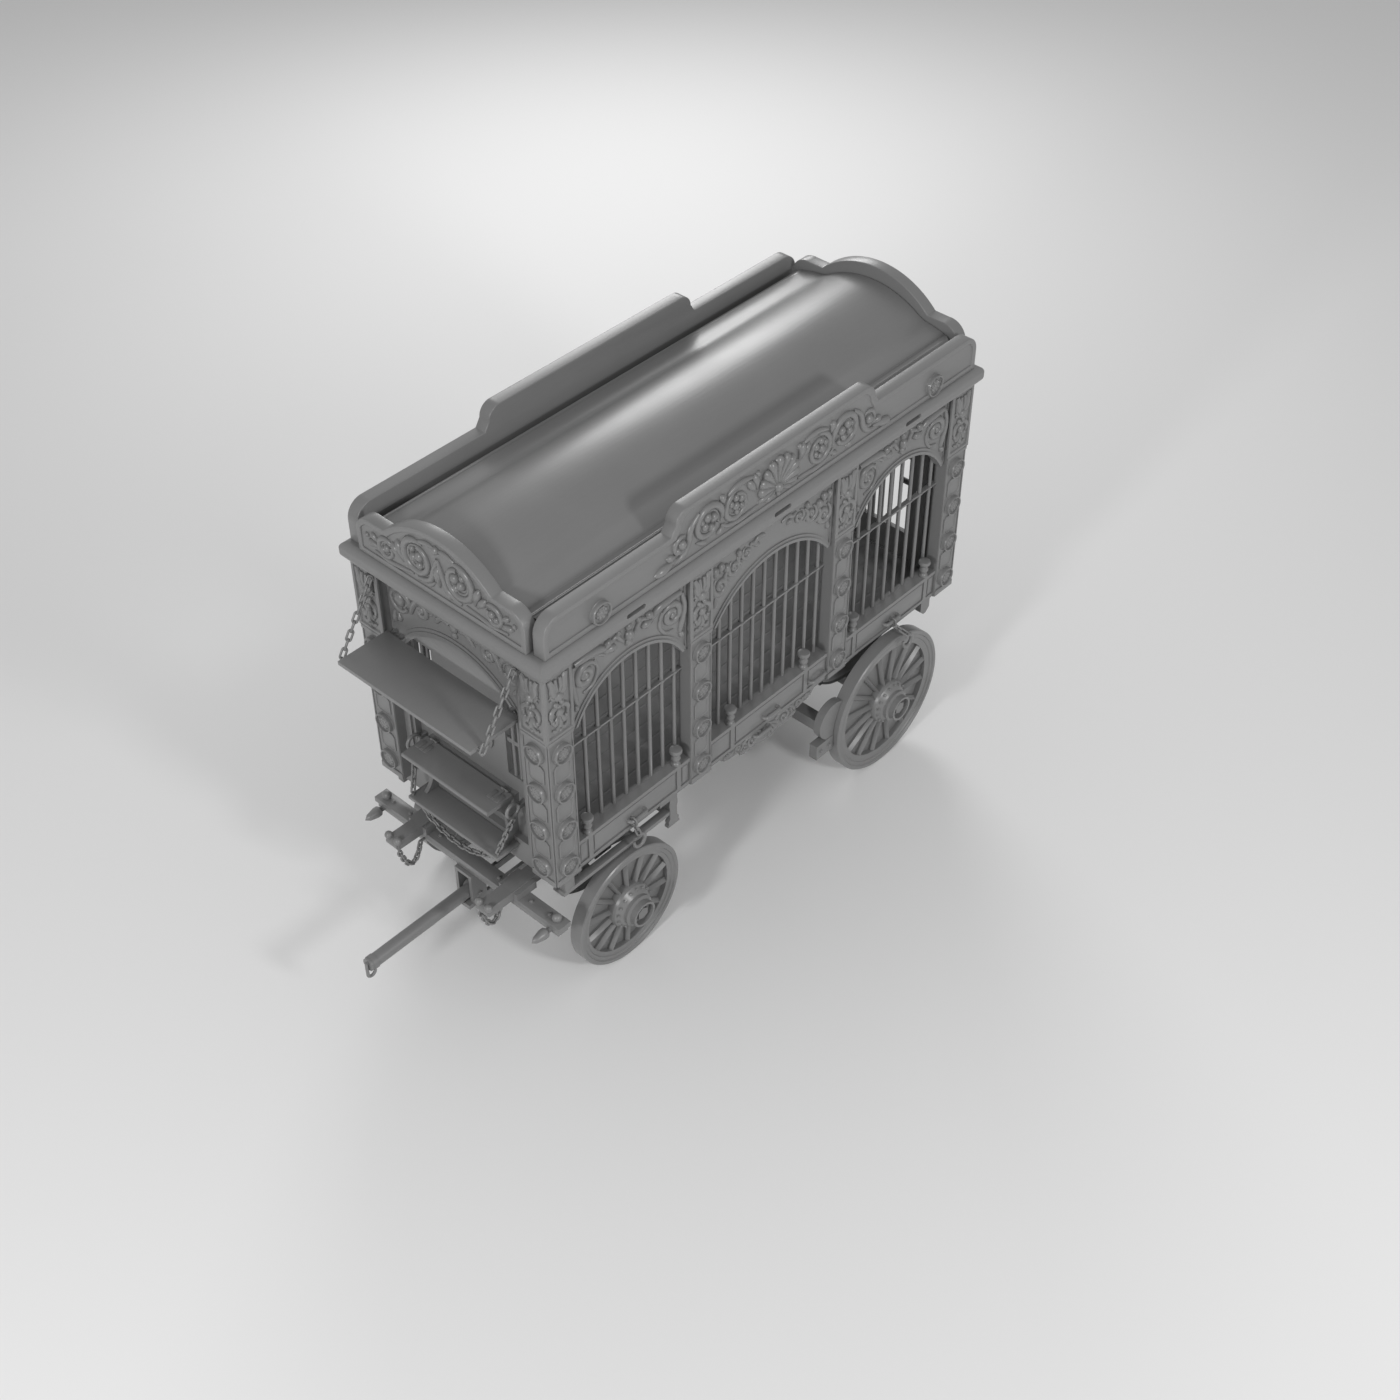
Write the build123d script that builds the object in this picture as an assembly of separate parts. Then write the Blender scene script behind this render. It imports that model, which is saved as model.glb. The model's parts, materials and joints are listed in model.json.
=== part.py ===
"""Circus cage wagon in millimetres: +X forward, +Y the wagon's left, +Z up, ground at zero."""
import os
from math import cos, radians, sin

from build123d import *

# Overall box
BODY_LENGTH = 4352
BODY_WIDTH = 1760
BASE_Z = 1245
POST_TALL = 1868
EAVES_Z = BASE_Z + POST_TALL
HALF_L = BODY_LENGTH / 2
HALF_W = BODY_WIDTH / 2

# Clearances of moving fits
RUN_CLEAR = 0.3
SIDE_CLEAR = 1

# Posts and side walls
POST = 230
POST_LEG = 100
POST_ROUND = 20
PILASTER = 215
MID_BAY_EXTRA = 190.5
WALL_BACK = 80
WALL_THICK = 50
WALL_IN = HALF_W - WALL_BACK
WALL_OUT = WALL_IN + WALL_THICK
SILL_BOTTOM = BASE_Z + 15
SILL_TOP = BASE_Z + 260
SILL_FACE = WALL_OUT + 12
LEDGE_TALL = 32
LEDGE_PROUD = 13
MOULD_TALL = 26
MOULD_PROUD = 10
ARCH_SPRING = EAVES_Z - 597
ARCH_RISE = 293
ARCH_EAR = 60
ARCH_STEPS = ((45, 9), (22, 18))

# Bays between the posts: centre x, half width, number of bars
END_BAY_HALF = (BODY_LENGTH - 2 * POST - 2 * PILASTER - MID_BAY_EXTRA) / 6
MID_BAY_HALF = END_BAY_HALF + MID_BAY_EXTRA / 2
PILASTER_X = MID_BAY_HALF + PILASTER / 2
END_BAY = HALF_L - POST - END_BAY_HALF
END_BAR_COUNT = 9
MID_BAR_COUNT = 11
BAYS = [
    (-END_BAY, END_BAY_HALF, END_BAR_COUNT),
    (0, MID_BAY_HALF, MID_BAR_COUNT),
    (END_BAY, END_BAY_HALF, END_BAR_COUNT),
]

# Cage bars
BAR_R = 13
BAR_Y = HALF_W - 95
RAIL = 30
RAIL_TOP = ARCH_SPRING + ARCH_RISE + 130
CROSS_BAR_Z = ARCH_SPRING - 217
CROSS_TALL = 12
CROSS_THICK = 34

# Sill fittings
STAPLE_X = [-END_BAY, 120.5 - MID_BAY_HALF, 0, END_BAY]
STAPLE_Z = BASE_Z + 110
STAPLE_HALF = 85
STAPLE_OUT = 52
STAPLE_BAR = 24
STAPLE_TALL = 28
END_PIN = END_BAY_HALF - 110
MID_PIN = MID_BAY_HALF - 238
PIN_X = [-END_BAY - END_PIN, END_PIN - END_BAY, -MID_PIN, MID_PIN, END_BAY - END_PIN, END_BAY + END_PIN]
STRAP = 40
APRON_HALF = MID_BAY_HALF - 110.5
APRON_DEEP = 180
APRON_FACE = WALL_OUT + 8
LOW_STAPLE_X = 90
LOW_STAPLE_Z = BASE_Z - 15
CORBEL_X = PILASTER_X + 252
CORBEL_THICK = 35
CORBEL_PLATE = 64
CORBEL_FACE = WALL_OUT
BEAM_END_HALF = 55
BEAM_END_X = POST - HALF_L + BEAM_END_HALF
BEAM_END_DEEP = 150

# Floor and underframe
FLOOR_THICK = 100
FLOOR_TOP = BASE_Z + FLOOR_THICK
FRAME_TALL = 100
FRAME_BOTTOM = BASE_Z - FRAME_TALL
FRAME_BEAM = 120
FRAME_ROUND = 60

# End walls
END_FACE = HALF_L - 76
END_WALL = 50
END_HALF = HALF_W - POST
LINING = 40
DOOR_HALF = END_HALF - 110
DOOR_RISE = 280
DOOR_SILL = FLOOR_TOP + 14
DOOR_GAP = 6
LEAF_THICK = 40
LEAF_STILE = 60
LEAF_PANEL = 240
LEAF_BAR_COUNT = 4
HINGE_OUT = 15
HINGE_R = 13
HINGE_TALL = 90
HINGE_PIN = 6
HINGE_Y = DOOR_HALF + 6
DOOR_HINGES = [DOOR_SILL + 130, CROSS_BAR_Z - 300, ARCH_SPRING - 120]
LIGHT_IN = 340
LIGHT_OUT = 510

# Cornice, boards and roof
CORNICE_OUT = 53
CORNICE_TALL = 140
CORNICE_DEEP = 140
CORNICE_TOP = EAVES_Z + CORNICE_TALL
SLOT_LONG = 170
SLOT_TALL = 30
BOARD = 85
RIM = 42
RIM_PROUD = 14
PARAPET_LOW = CORNICE_TOP + 290
PARAPET_HIGH = CORNICE_TOP + 452
PARAPET_END = HALF_L - 21
PARAPET_STEP = PILASTER_X + 242
CREST_LOW = CORNICE_TOP + 196
CREST_SHOULDER = CORNICE_TOP + 296
CREST_TOP = CORNICE_TOP + 496
CREST_HALF = HALF_W - BOARD - 27
CREST_ARC = CREST_HALF - 278
ROOF_CROWN = CORNICE_TOP + 398
ROOF_EAVE = ROOF_CROWN - 286
ROOF_HALF = HALF_W - BOARD - 40
ROOF_END = HALF_L - BOARD - 5
ROOF_ROLL = 100
ROOF_TURN = 120
ROOF_SHELL = 25

# Hood board, seat and footboard
HOOD_FRONT = HALF_L + 408
HOOD_TOP = EAVES_Z - 476
HOOD_HALF = END_HALF - 22
HOOD_THICK = 44
HOOD_HINGE_X = END_FACE + 52
HOOD_HINGE_Y = HOOD_HALF - 68
HOOD_KNUCKLE = 24
HOOD_LUG = 26
HOOD_MID = HOOD_TOP - HOOD_THICK / 2
HOOD_EYE = (HALF_L + 36, HOOD_HALF + 37, EAVES_Z - 24)
HOOD_EYE_R = 7
HOOD_PIN_X = HOOD_FRONT - 69
HOOD_LINK_COUNT = 9
SEAT_FRONT = END_FACE + 237
SEAT_TOP = BASE_Z + 519
SEAT_HALF = DOOR_HALF - 116
SEAT_HINGE_X = END_FACE + 4
SEAT_HINGE_Y = SEAT_HALF - 74
SEAT_THICK = 35
SEAT_KNUCKLE = 20
SEAT_KNUCKLE_R = 9
SEAT_PIN = 4
CHEEK_Y = SEAT_HALF - 28
CHEEK_THICK = 32
STAY_RING = (END_FACE + 70, DOOR_HALF - 50, BASE_Z + 470)
STAY_RING_R = 54
STAY_WIRE = 13
FOOT_FRONT = END_FACE + 211
FOOT_TOP = BASE_Z + 76
FOOT_HALF = DOOR_HALF - 90
FOOT_THICK = 30

# Forecarriage
KING_X = HALF_L - 691
KING_R = 30
RING_R = 420
RING_BORE = 300
RING_THICK = 40
RING_TOP = FRAME_BOTTOM - RING_THICK - RUN_CLEAR
BOLSTER_BOTTOM = 850
BOLSTER_WIDE = 160
SPRING_Y = HALF_W - 340
SPRING_HALF = 380
SPRING_WIDE = 76
LEAF = 34
BOLSTER_HALF = SPRING_Y + 80
ARM_Y = 463
ARM_WIDE = 110
BAR_FRONT = KING_X + 759
BAR_REAR = BAR_FRONT - 114
ARM_TIP = BAR_FRONT + 258
ARM_TOP = BASE_Z - 245
ARM_KNOB = 47
BAR_TOP_Z = ARM_TOP - 77
BAR_TALL = 90
BAR_HALF = HALF_W + 65
POLE_Z = BAR_TOP_Z - 306
POLE_R = 50
POLE_PIN_X = BAR_FRONT - 54
POLE_PIN = 15
POLE_TIP = BAR_FRONT + 920
JAW_CLEAR = 6
JAW_CHEEK = 28
HOOK_R = 12
HOOK_OUT = 13

# Wheels: centre x, radius, outer rim face y, rim depth, spoke count
FRONT_SPOKE_COUNT = 14
REAR_SPOKE_COUNT = 16
FRONT_WHEEL = (KING_X, 502, HALF_W, 100, FRONT_SPOKE_COUNT)
REAR_WHEEL = (845 - HALF_L, 614, HALF_W + 88, 118, REAR_SPOKE_COUNT)
TREAD = 106
HUB_OUT = 135
WEB_BACK = 72
HUB_IN = 136
SPINDLE_R = 38
HUB_BORE = SPINDLE_R + RUN_CLEAR
AXLE_TALL = 100
AXLE_WIDE = 90
AXLE_SHOULDER = 6
REAR_BOLSTER_BOTTOM = 960

# Brake
SHOE_GAP = 6
SHOE_DEEP = 190
SHOE_WIDE = 66
SHOE_Y = REAR_WHEEL[2] - TREAD - 10
SHOE_FOOT = 195
BRAKE_BEAM = 100
BRAKE_X = REAR_WHEEL[0] + REAR_WHEEL[1] + SHOE_GAP + 93
BRAKE_Z = REAR_WHEEL[1] + 189

# Chains
LINK_WIDE = 46
WIRE = 13
SHACKLE_R = 30
SHACKLE_WIRE = 7
LOCK_HOOK_R = 36

# Row frame: the box's mid length between the rear cornice and the pole hook
CENTRE_X = (POLE_TIP + HOOK_OUT + HOOK_R - HALF_L - CORNICE_OUT) / 2


def block(x0, x1, y0, y1, z0, z1):
    """Box between two corners."""
    centre = Pos((x0 + x1) / 2, (y0 + y1) / 2, (z0 + z1) / 2)
    return centre * Box(abs(x1 - x0), abs(y1 - y0), abs(z1 - z0))


def prism_y(face, y0, y1):
    """Face drawn as (x, z), pulled from y0 to y1."""
    return extrude(Plane.XZ.offset(-y0) * face, amount=y1 - y0, dir=(0, 1, 0))


def prism_x(face, x0, x1):
    """Face drawn as (y, z), pulled from x0 to x1."""
    return extrude(Plane.YZ.offset(x0) * face, amount=x1 - x0, dir=(1, 0, 0))


def prism_z(face, z0, z1):
    """Face drawn as (x, y), pulled from z0 to z1."""
    return extrude(Plane.XY.offset(z0) * face, amount=z1 - z0, dir=(0, 0, 1))


def rod(start, end, radius):
    """Round bar between two points."""
    a = Vector(*start)
    b = Vector(*end)
    plane = Plane(origin=a, z_dir=b - a)
    return extrude(plane * Circle(radius), amount=(b - a).length)


def rod_y(x, z, y0, y1, radius):
    """Round bar across the wagon."""
    return rod((x, y0, z), (x, y1, z), radius)


def polygon(*points):
    """Flat face through points."""
    return make_face(Polyline(*points, close=True))


def arch(centre, half, bottom, spring, rise):
    """Arched opening as a flat face."""
    left = centre - half
    right = centre + half
    return make_face(
        [
            Line((left, bottom), (right, bottom)),
            Line((right, bottom), (right, spring)),
            ThreePointArc((right, spring), (centre, spring + rise), (left, spring)),
            Line((left, spring), (left, bottom)),
        ]
    )


def other_side(shape):
    """The same shape on the wagon's right."""
    return mirror(shape, about=Plane.XZ)


def both_sides(shape):
    """A shape and its mirror image."""
    return [shape, other_side(shape)]


def fused(shapes):
    """One solid from touching shapes."""
    first, *rest = shapes
    return first.fuse(*rest) if rest else first


def solids_of(shapes):
    """Every solid in nested shapes."""
    found = []
    for shape in shapes:
        if isinstance(shape, (list, tuple, ShapeList)):
            found.extend(solids_of(shape))
        else:
            found.extend(shape.solids())
    return found


def write(name, *shapes):
    """One STEP file of a named piece in the row frame."""
    moved = [Pos(-CENTRE_X, 0, 0) * solid for solid in solids_of(shapes)]
    export_step(Compound(children=moved), f"parts/{name}.step")


def link(length):
    """Eight-sided chain link along local X."""
    a = length / 2
    b = LINK_WIDE / 2
    rings = []
    for inset, cut in ((0, 10), (WIRE, 5)):
        p = a - inset
        q = b - inset
        corners = [
            (p, q - cut), (p - cut, q), (cut - p, q), (-p, q - cut),
            (-p, cut - q), (cut - p, -q), (p - cut, -q), (p, cut - q),
        ]
        rings.append(polygon(*corners))
    return extrude(rings[0] - rings[1], amount=WIRE / 2, both=True)


def chain(points, side=(0, 1, 0)):
    """Links of one fused chain through a run of joint points; the first link lies flat to a side."""
    links = []
    for i, (start, end) in enumerate(zip(points, points[1:])):
        a = Vector(*start)
        b = Vector(*end)
        run = b - a
        across = run.cross(Vector(*side)).normalized()
        normal = across if i % 2 else run.cross(across).normalized()
        plane = Plane(origin=(a + b) / 2, x_dir=run, z_dir=normal)
        links.append(plane * link(run.length + 2 * WIRE - 1))
    return fused(links)


def spaced(start, end, count):
    """Evenly spaced points on a straight run."""
    a = Vector(*start)
    b = Vector(*end)
    return [tuple(a + (b - a) * (i / count)) for i in range(count + 1)]


def hanging(start, end, drop, count):
    """Points of a hanging run, lowest at its middle."""
    points = []
    for i, (x, y, z) in enumerate(spaced(start, end, count)):
        t = i / count
        points.append((x, y, z - 4 * drop * t * (1 - t)))
    return points


def staple(centre, wall, middle):
    """Flat loop handle on the left side: two legs and a grip."""
    low = middle - STAPLE_TALL / 2
    high = middle + STAPLE_TALL / 2
    grip = wall + STAPLE_OUT - STAPLE_BAR
    left = centre - STAPLE_HALF
    right = centre + STAPLE_HALF
    return [
        block(left, left + STAPLE_BAR, wall, grip, low, high),
        block(right - STAPLE_BAR, right, wall, grip, low, high),
        block(left, right, grip, grip + STAPLE_BAR, low, high),
    ]


def capped_pin(centre):
    """Round-capped pin on the sill with a strap down its face."""
    y = HALF_W - 36
    neck = Pos(centre, y, SILL_TOP + 60) * Cylinder(22, 120)
    ball = Pos(centre, y, SILL_TOP + 62) * Sphere(34)
    cap = Pos(centre, y, SILL_TOP + 133) * Cylinder(42, 34)
    foot = Pos(centre, y, SILL_TOP + 9) * Cylinder(32, 18)
    return fused([neck, ball, cap, foot])


def strap(centre):
    """Iron strap under a sill pin."""
    low = SILL_BOTTOM + MOULD_TALL
    high = SILL_TOP - LEDGE_TALL
    return block(centre - STRAP / 2, centre + STRAP / 2, SILL_FACE, SILL_FACE + MOULD_PROUD, low, high)


def corbel():
    """Moulded bracket that hangs from a plate under the left sill."""
    top = SILL_BOTTOM
    back = CORBEL_FACE - CORBEL_THICK
    plate = block(CORBEL_X - 38, CORBEL_X + 140, WALL_IN, CORBEL_FACE, top - CORBEL_PLATE, top)
    neck = ((36, CORBEL_PLATE), (43, 120), (36, 160), (36, 250))
    base = ((52, 268), (52, 290), (46, 296), (58, 306), (58, 325))
    right = [(half, top - drop) for half, drop in (*neck, *base)]
    left = [(-half, z) for half, z in reversed(right)]
    return fused([plate, Pos(CORBEL_X, 0, 0) * prism_y(polygon(*right, *left), back, CORBEL_FACE)])


def beam_end():
    """Chamfered end of a cross beam under the left sill's rear."""
    top = SILL_BOTTOM
    half = BEAM_END_HALF
    low = BASE_Z - BEAM_END_DEEP
    toe = half - 40
    face = polygon((-half, top), (half, top), (half, low + 40), (toe, low), (-toe, low), (-half, low + 40))
    return Pos(BEAM_END_X, 0, 0) * prism_y(face, WALL_IN, CORBEL_FACE)


def bay_panel(centre, half):
    """Arched panel of one bay on the left side with a stepped arch between two ears."""
    clear = half - ARCH_EAR
    panel = block(centre - half, centre + half, WALL_IN, WALL_OUT, ARCH_SPRING, EAVES_Z)
    shapes = [panel]
    for grow, proud in ARCH_STEPS:
        outer = arch(centre, clear + grow, ARCH_SPRING, ARCH_SPRING + 1, ARCH_RISE + grow)
        shapes.append(prism_y(outer, WALL_OUT, WALL_OUT + proud))
    opening = arch(centre, clear, ARCH_SPRING - 1, ARCH_SPRING, ARCH_RISE)
    return fused(shapes) - prism_y(opening, WALL_IN - 1, WALL_OUT + 30)


def bay_sill(centre, half):
    """Sill of one bay on the left side with a ledge and a lower moulding."""
    left = centre - half
    right = centre + half
    return fused(
        [
            block(left, right, WALL_IN, SILL_FACE, SILL_BOTTOM, SILL_TOP),
            block(left, right, SILL_FACE, SILL_FACE + LEDGE_PROUD, SILL_TOP - LEDGE_TALL, SILL_TOP),
            block(left, right, SILL_FACE, SILL_FACE + MOULD_PROUD, SILL_BOTTOM, SILL_BOTTOM + MOULD_TALL),
        ]
    )


def bay_bars(centre, half, count):
    """Bars, rails and cross bar of one bay on the left side."""
    left = centre - half
    right = centre + half
    back = BAR_Y - RAIL / 2
    front = BAR_Y + RAIL / 2
    cross = CROSS_TALL / 2
    thin = CROSS_THICK / 2
    shapes = [
        block(left, right, back, front, SILL_TOP - RAIL, SILL_TOP),
        block(left, right, back, front, RAIL_TOP - RAIL, RAIL_TOP),
        block(left, right, BAR_Y - thin, BAR_Y + thin, CROSS_BAR_Z - cross, CROSS_BAR_Z + cross),
    ]
    step = 2 * half / count
    for i in range(count):
        x = left + step * (i + 0.5)
        shapes.append(rod((x, BAR_Y, SILL_TOP - RAIL / 2), (x, BAR_Y, RAIL_TOP - RAIL / 2), BAR_R))
    return fused(shapes)


def corner_post(sign):
    """Corner post on the left side, front or rear, with its leg along the end wall."""
    end = sign * HALF_L
    post = block(sign * (HALF_L - POST), end, HALF_W - POST_LEG, HALF_W, BASE_Z, EAVES_Z)
    edge = post.edges().filter_by(Axis.Z).sort_by(lambda e: sign * e.center().X + e.center().Y)[-1]
    leg = block(sign * (HALF_L - POST_LEG), end, HALF_W - POST, HALF_W - POST_LEG, BASE_Z, EAVES_Z)
    return [fillet(edge, POST_ROUND), leg]


def end_frame(sign):
    """Arched doorway frame between two corner posts."""
    face = sign * END_FACE
    back = sign * (END_FACE - END_WALL)
    panel = block(back, face, -END_HALF, END_HALF, BASE_Z, EAVES_Z)
    shapes = [panel]
    edge = arch(0, DOOR_HALF + 26, DOOR_SILL, ARCH_SPRING, DOOR_RISE + 26)
    for grow, proud in ((76, 9), (52, 18)):
        outer = arch(0, DOOR_HALF + grow, DOOR_SILL, ARCH_SPRING, DOOR_RISE + grow)
        low, high = sorted((face, face + sign * proud))
        shapes.append(prism_x(outer - edge, low, high))
    opening = arch(0, DOOR_HALF, DOOR_SILL, ARCH_SPRING, DOOR_RISE)
    return fused(shapes) - prism_x(opening, *sorted((back - sign, face + sign * 30)))


def right_of(y):
    """Wide flat face on one side of a line."""
    return polygon((y, 0), (END_HALF, 0), (END_HALF, EAVES_Z), (y, EAVES_Z))


def rear_leaf():
    """Left leaf of the rear cage doors with its bored hinge barrels."""
    gap = DOOR_GAP
    stile = LEAF_STILE
    whole = arch(0, DOOR_HALF - gap, DOOR_SILL + gap, ARCH_SPRING, DOOR_RISE - gap)
    clear = arch(0, DOOR_HALF - gap - stile, DOOR_SILL + LEAF_PANEL, ARCH_SPRING, DOOR_RISE - gap - stile)
    outline = whole & right_of(gap / 2)
    hole = clear & right_of(gap / 2 + stile)
    outside = -END_FACE
    shapes = [prism_x(outline - hole, outside, outside + LEAF_THICK)]
    mid_x = outside + LEAF_THICK / 2
    pitch = (DOOR_HALF - gap - 2 * stile) / (LEAF_BAR_COUNT + 1)
    for i in range(LEAF_BAR_COUNT):
        y = gap / 2 + stile + pitch * (i + 1)
        top = ARCH_SPRING + DOOR_RISE * (1 - (y / DOOR_HALF) ** 2) - stile / 2
        shapes.append(rod((mid_x, y, DOOR_SILL + LEAF_PANEL - 40), (mid_x, y, top), BAR_R))
    thin = CROSS_THICK / 2
    low = CROSS_BAR_Z - CROSS_TALL / 2
    shapes.append(block(mid_x - thin, mid_x + thin, stile, DOOR_HALF - stile, low, low + CROSS_TALL))
    axis_x = outside - HINGE_OUT
    for z in DOOR_HINGES:
        shapes.append(rod((axis_x, HINGE_Y, z), (axis_x, HINGE_Y, z + HINGE_TALL), HINGE_R))
        shapes.append(block(outside - 12, outside, HINGE_Y - 180, HINGE_Y - 8, z + 20, z + 70))
    leaf = fused(shapes)
    for z in DOOR_HINGES:
        leaf -= rod((axis_x, HINGE_Y, z - 1), (axis_x, HINGE_Y, z + HINGE_TALL + 1), HINGE_PIN + RUN_CLEAR)
    return leaf


def hinge_lugs():
    """Fixed hinge lugs and pins below the barrels of the left rear leaf."""
    shapes = []
    axis_x = -END_FACE - HINGE_OUT
    for z in DOOR_HINGES:
        top = z - RUN_CLEAR
        lug = block(axis_x - HINGE_R, -END_FACE, HINGE_Y - 6, HINGE_Y + 12, top - 32, top)
        pin = rod((axis_x, HINGE_Y, top - 5), (axis_x, HINGE_Y, z + HINGE_TALL), HINGE_PIN)
        shapes.append(fused([lug, pin]))
    return shapes


def parapet_face(inset):
    """Stepped outline of a side board, shrunk by a margin."""
    end = PARAPET_END - inset
    low = PARAPET_LOW - inset
    high = PARAPET_HIGH - inset
    step = PARAPET_STEP - inset
    foot = CORNICE_TOP + inset
    corner = 130 - inset
    cut = 0.29 * corner
    edges = [
        Line((-end, foot), (end, foot)),
        Line((end, foot), (end, low - corner)),
        ThreePointArc((end, low - corner), (end - cut, low - cut), (end - corner, low)),
        Line((end - corner, low), (step + 40, low)),
        Line((step + 40, low), (step, low + 62)),
        ThreePointArc((step, low + 62), (step - 38, high - 22), (step - 110, high)),
        Line((step - 110, high), (110 - step, high)),
        ThreePointArc((110 - step, high), (38 - step, high - 22), (-step, low + 62)),
        Line((-step, low + 62), (-step - 40, low)),
        Line((-step - 40, low), (corner - end, low)),
        ThreePointArc((corner - end, low), (cut - end, low - cut), (-end, low - corner)),
        Line((-end, low - corner), (-end, foot)),
    ]
    return make_face(edges)


def parapet():
    """Left side board with a raised rim."""
    rim = parapet_face(0) - parapet_face(RIM)
    board = prism_y(parapet_face(0), HALF_W - BOARD, HALF_W)
    return fused([board, prism_y(rim, HALF_W, HALF_W + RIM_PROUD)])


def crest_face(inset):
    """Arched outline of an end board with shoulders, shrunk by a margin."""
    half = CREST_HALF - inset
    foot = CORNICE_TOP + inset
    low = CREST_LOW
    shoulder = CREST_SHOULDER - inset
    arc = CREST_ARC - inset * 0.6
    turn = half - 150 + inset * 0.5
    bend_y = half - 0.3 * (half - turn)
    bend_z = shoulder - 0.3 * (shoulder - low)
    edges = [
        Line((-half, foot), (half, foot)),
        Line((half, foot), (half, low)),
        ThreePointArc((half, low), (bend_y, bend_z), (turn, shoulder)),
        Line((turn, shoulder), (arc, shoulder)),
        ThreePointArc((arc, shoulder), (0, CREST_TOP - inset), (-arc, shoulder)),
        Line((-arc, shoulder), (-turn, shoulder)),
        ThreePointArc((-turn, shoulder), (-bend_y, bend_z), (-half, low)),
        Line((-half, low), (-half, foot)),
    ]
    return make_face(edges)


def crest(sign):
    """End board with an arched centre, shoulders and a raised rim."""
    rim = crest_face(0) - crest_face(RIM)
    back, front = sorted((sign * (HALF_L - BOARD), sign * HALF_L))
    rim_back, rim_front = sorted((sign * HALF_L, sign * (HALF_L + RIM_PROUD)))
    return fused([prism_x(crest_face(0), back, front), prism_x(rim, rim_back, rim_front)])


def roof_face(inset):
    """Vaulted section with rolled wings, shrunk by a shell thickness."""
    half = ROOF_HALF - inset
    eave = ROOF_EAVE - inset
    foot = CORNICE_TOP if inset == 0 else CORNICE_TOP - 1

    def rolled(degrees):
        turn = radians(degrees)
        return (half - ROOF_ROLL + ROOF_ROLL * cos(turn), eave + ROOF_ROLL * sin(turn))

    valley = (half - 250, eave + 135)
    spring = (half - 351, eave + 173)
    right = [
        Line((half, foot), (half, eave)),
        ThreePointArc((half, eave), rolled(36), rolled(72)),
        ThreePointArc(rolled(72), (half - 159, eave + 120), valley),
        ThreePointArc(valley, (half - 303, eave + 148), spring),
    ]
    left = [mirror(edge, about=Plane.YZ) for edge in right]
    vault = ThreePointArc(spring, (0, ROOF_CROWN - inset), (-spring[0], spring[1]))
    return make_face([Line((-half, foot), (half, foot)), *right, vault, *left])


def roof_block(inset):
    """Roof with rounded corners in plan, shrunk by a shell thickness."""
    end = ROOF_END - inset
    plan = RectangleRounded(2 * end, 2 * (ROOF_HALF - inset + 8), ROOF_TURN - inset)
    return prism_x(roof_face(inset), -end - 10, end + 10) & prism_z(plan, CORNICE_TOP - 2, ROOF_CROWN + 2)


def roof():
    """Vaulted roof shell with closed ends."""
    return roof_block(0) - roof_block(ROOF_SHELL)


def elliptic_spring(x, z0, z1):
    """Full elliptic leaf spring on the left side between two heights."""
    middle = (z0 + z1) / 2
    tall = (z1 - z0) / 2
    half = SPRING_HALF
    wide = SPRING_WIDE / 2

    def lens(width, rise):
        return make_face(
            [
                ThreePointArc((x - width, middle), (x, middle + rise), (x + width, middle)),
                ThreePointArc((x + width, middle), (x, middle - rise), (x - width, middle)),
            ]
        )

    ring = prism_y(lens(half, tall) - lens(half - 20, tall - LEAF), SPRING_Y - wide, SPRING_Y + wide)
    eyes = []
    for side in (-1, 1):
        at = x + side * (half - 14)
        eyes.append(rod_y(at, middle, SPRING_Y - wide - 4, SPRING_Y + wide + 4, 22))
    return fused([ring, *eyes])


def turned(points):
    """Solid of revolution about Y from (radius, y) points."""
    return revolve(polygon(*points), axis=Axis.Y, revolution_arc=360)


def sunburst_wheel(x, radius, face_y, depth, count):
    """Left wheel with stepped rim, ridged spokes, wedge webs and banded hub."""
    rim = radius - depth
    web = -WEB_BACK
    shapes = [
        turned(
            [
                (radius, -TREAD), (radius, -8), (radius - 8, 0), (radius - 32, 0), (radius - 38, -9),
                (radius - 64, -9), (radius - 70, -18), (rim, -24), (rim, 24 - TREAD),
                (radius - 70, 18 - TREAD), (radius - 64, 9 - TREAD), (radius - 38, 9 - TREAD),
                (radius - 32, -TREAD),
            ]
        ),
        turned(
            [
                (HUB_BORE, -HUB_IN), (118, -HUB_IN), (140, -116), (182, -98), (182, -12), (176, 8),
                (134, 52), (126, 54), (126, 78), (104, 88), (104, HUB_OUT), (86, HUB_OUT),
                (86, 92), (HUB_BORE, 92),
            ]
        ),
        turned([(170, web - 6), (rim + 6, web - 6), (rim + 6, web + 6), (170, web + 6)]),
    ]
    for i in range(count):
        sections = []
        for r, wide, back, flat, ridge in ((172, 16, -92, -44, -12), (rim + 6, 25, -88, -48, -24)):
            plane = Plane(origin=(r, 0, 0), x_dir=(0, 0, -1), z_dir=(1, 0, 0))
            outline = polygon((-wide, back), (wide, back), (wide, flat), (0, ridge), (-wide, flat))
            sections.append(plane * outline)
        spoke = loft(sections, ruled=True)
        shapes.append(Rot(0, 360 * (i + 0.5) / count, 0) * spoke)
    return Pos(x, face_y, radius) * fused(shapes)


def axle(x, radius, face_y):
    """Square axle with round spindles and end nuts."""
    inner = face_y - HUB_IN - AXLE_SHOULDER
    wide = AXLE_WIDE / 2
    tall = AXLE_TALL / 2
    shapes = [block(x - wide, x + wide, -inner, inner, radius - tall, radius + tall)]
    shapes.append(rod_y(x, radius, -face_y - 110, face_y + 110, SPINDLE_R))
    for side in (-1, 1):
        plane = Plane(origin=(x, side * (face_y + 97), radius), z_dir=(0, side, 0))
        shapes.append(extrude(plane * RegularPolygon(52, 6), amount=22))
    return fused(shapes)


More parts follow.
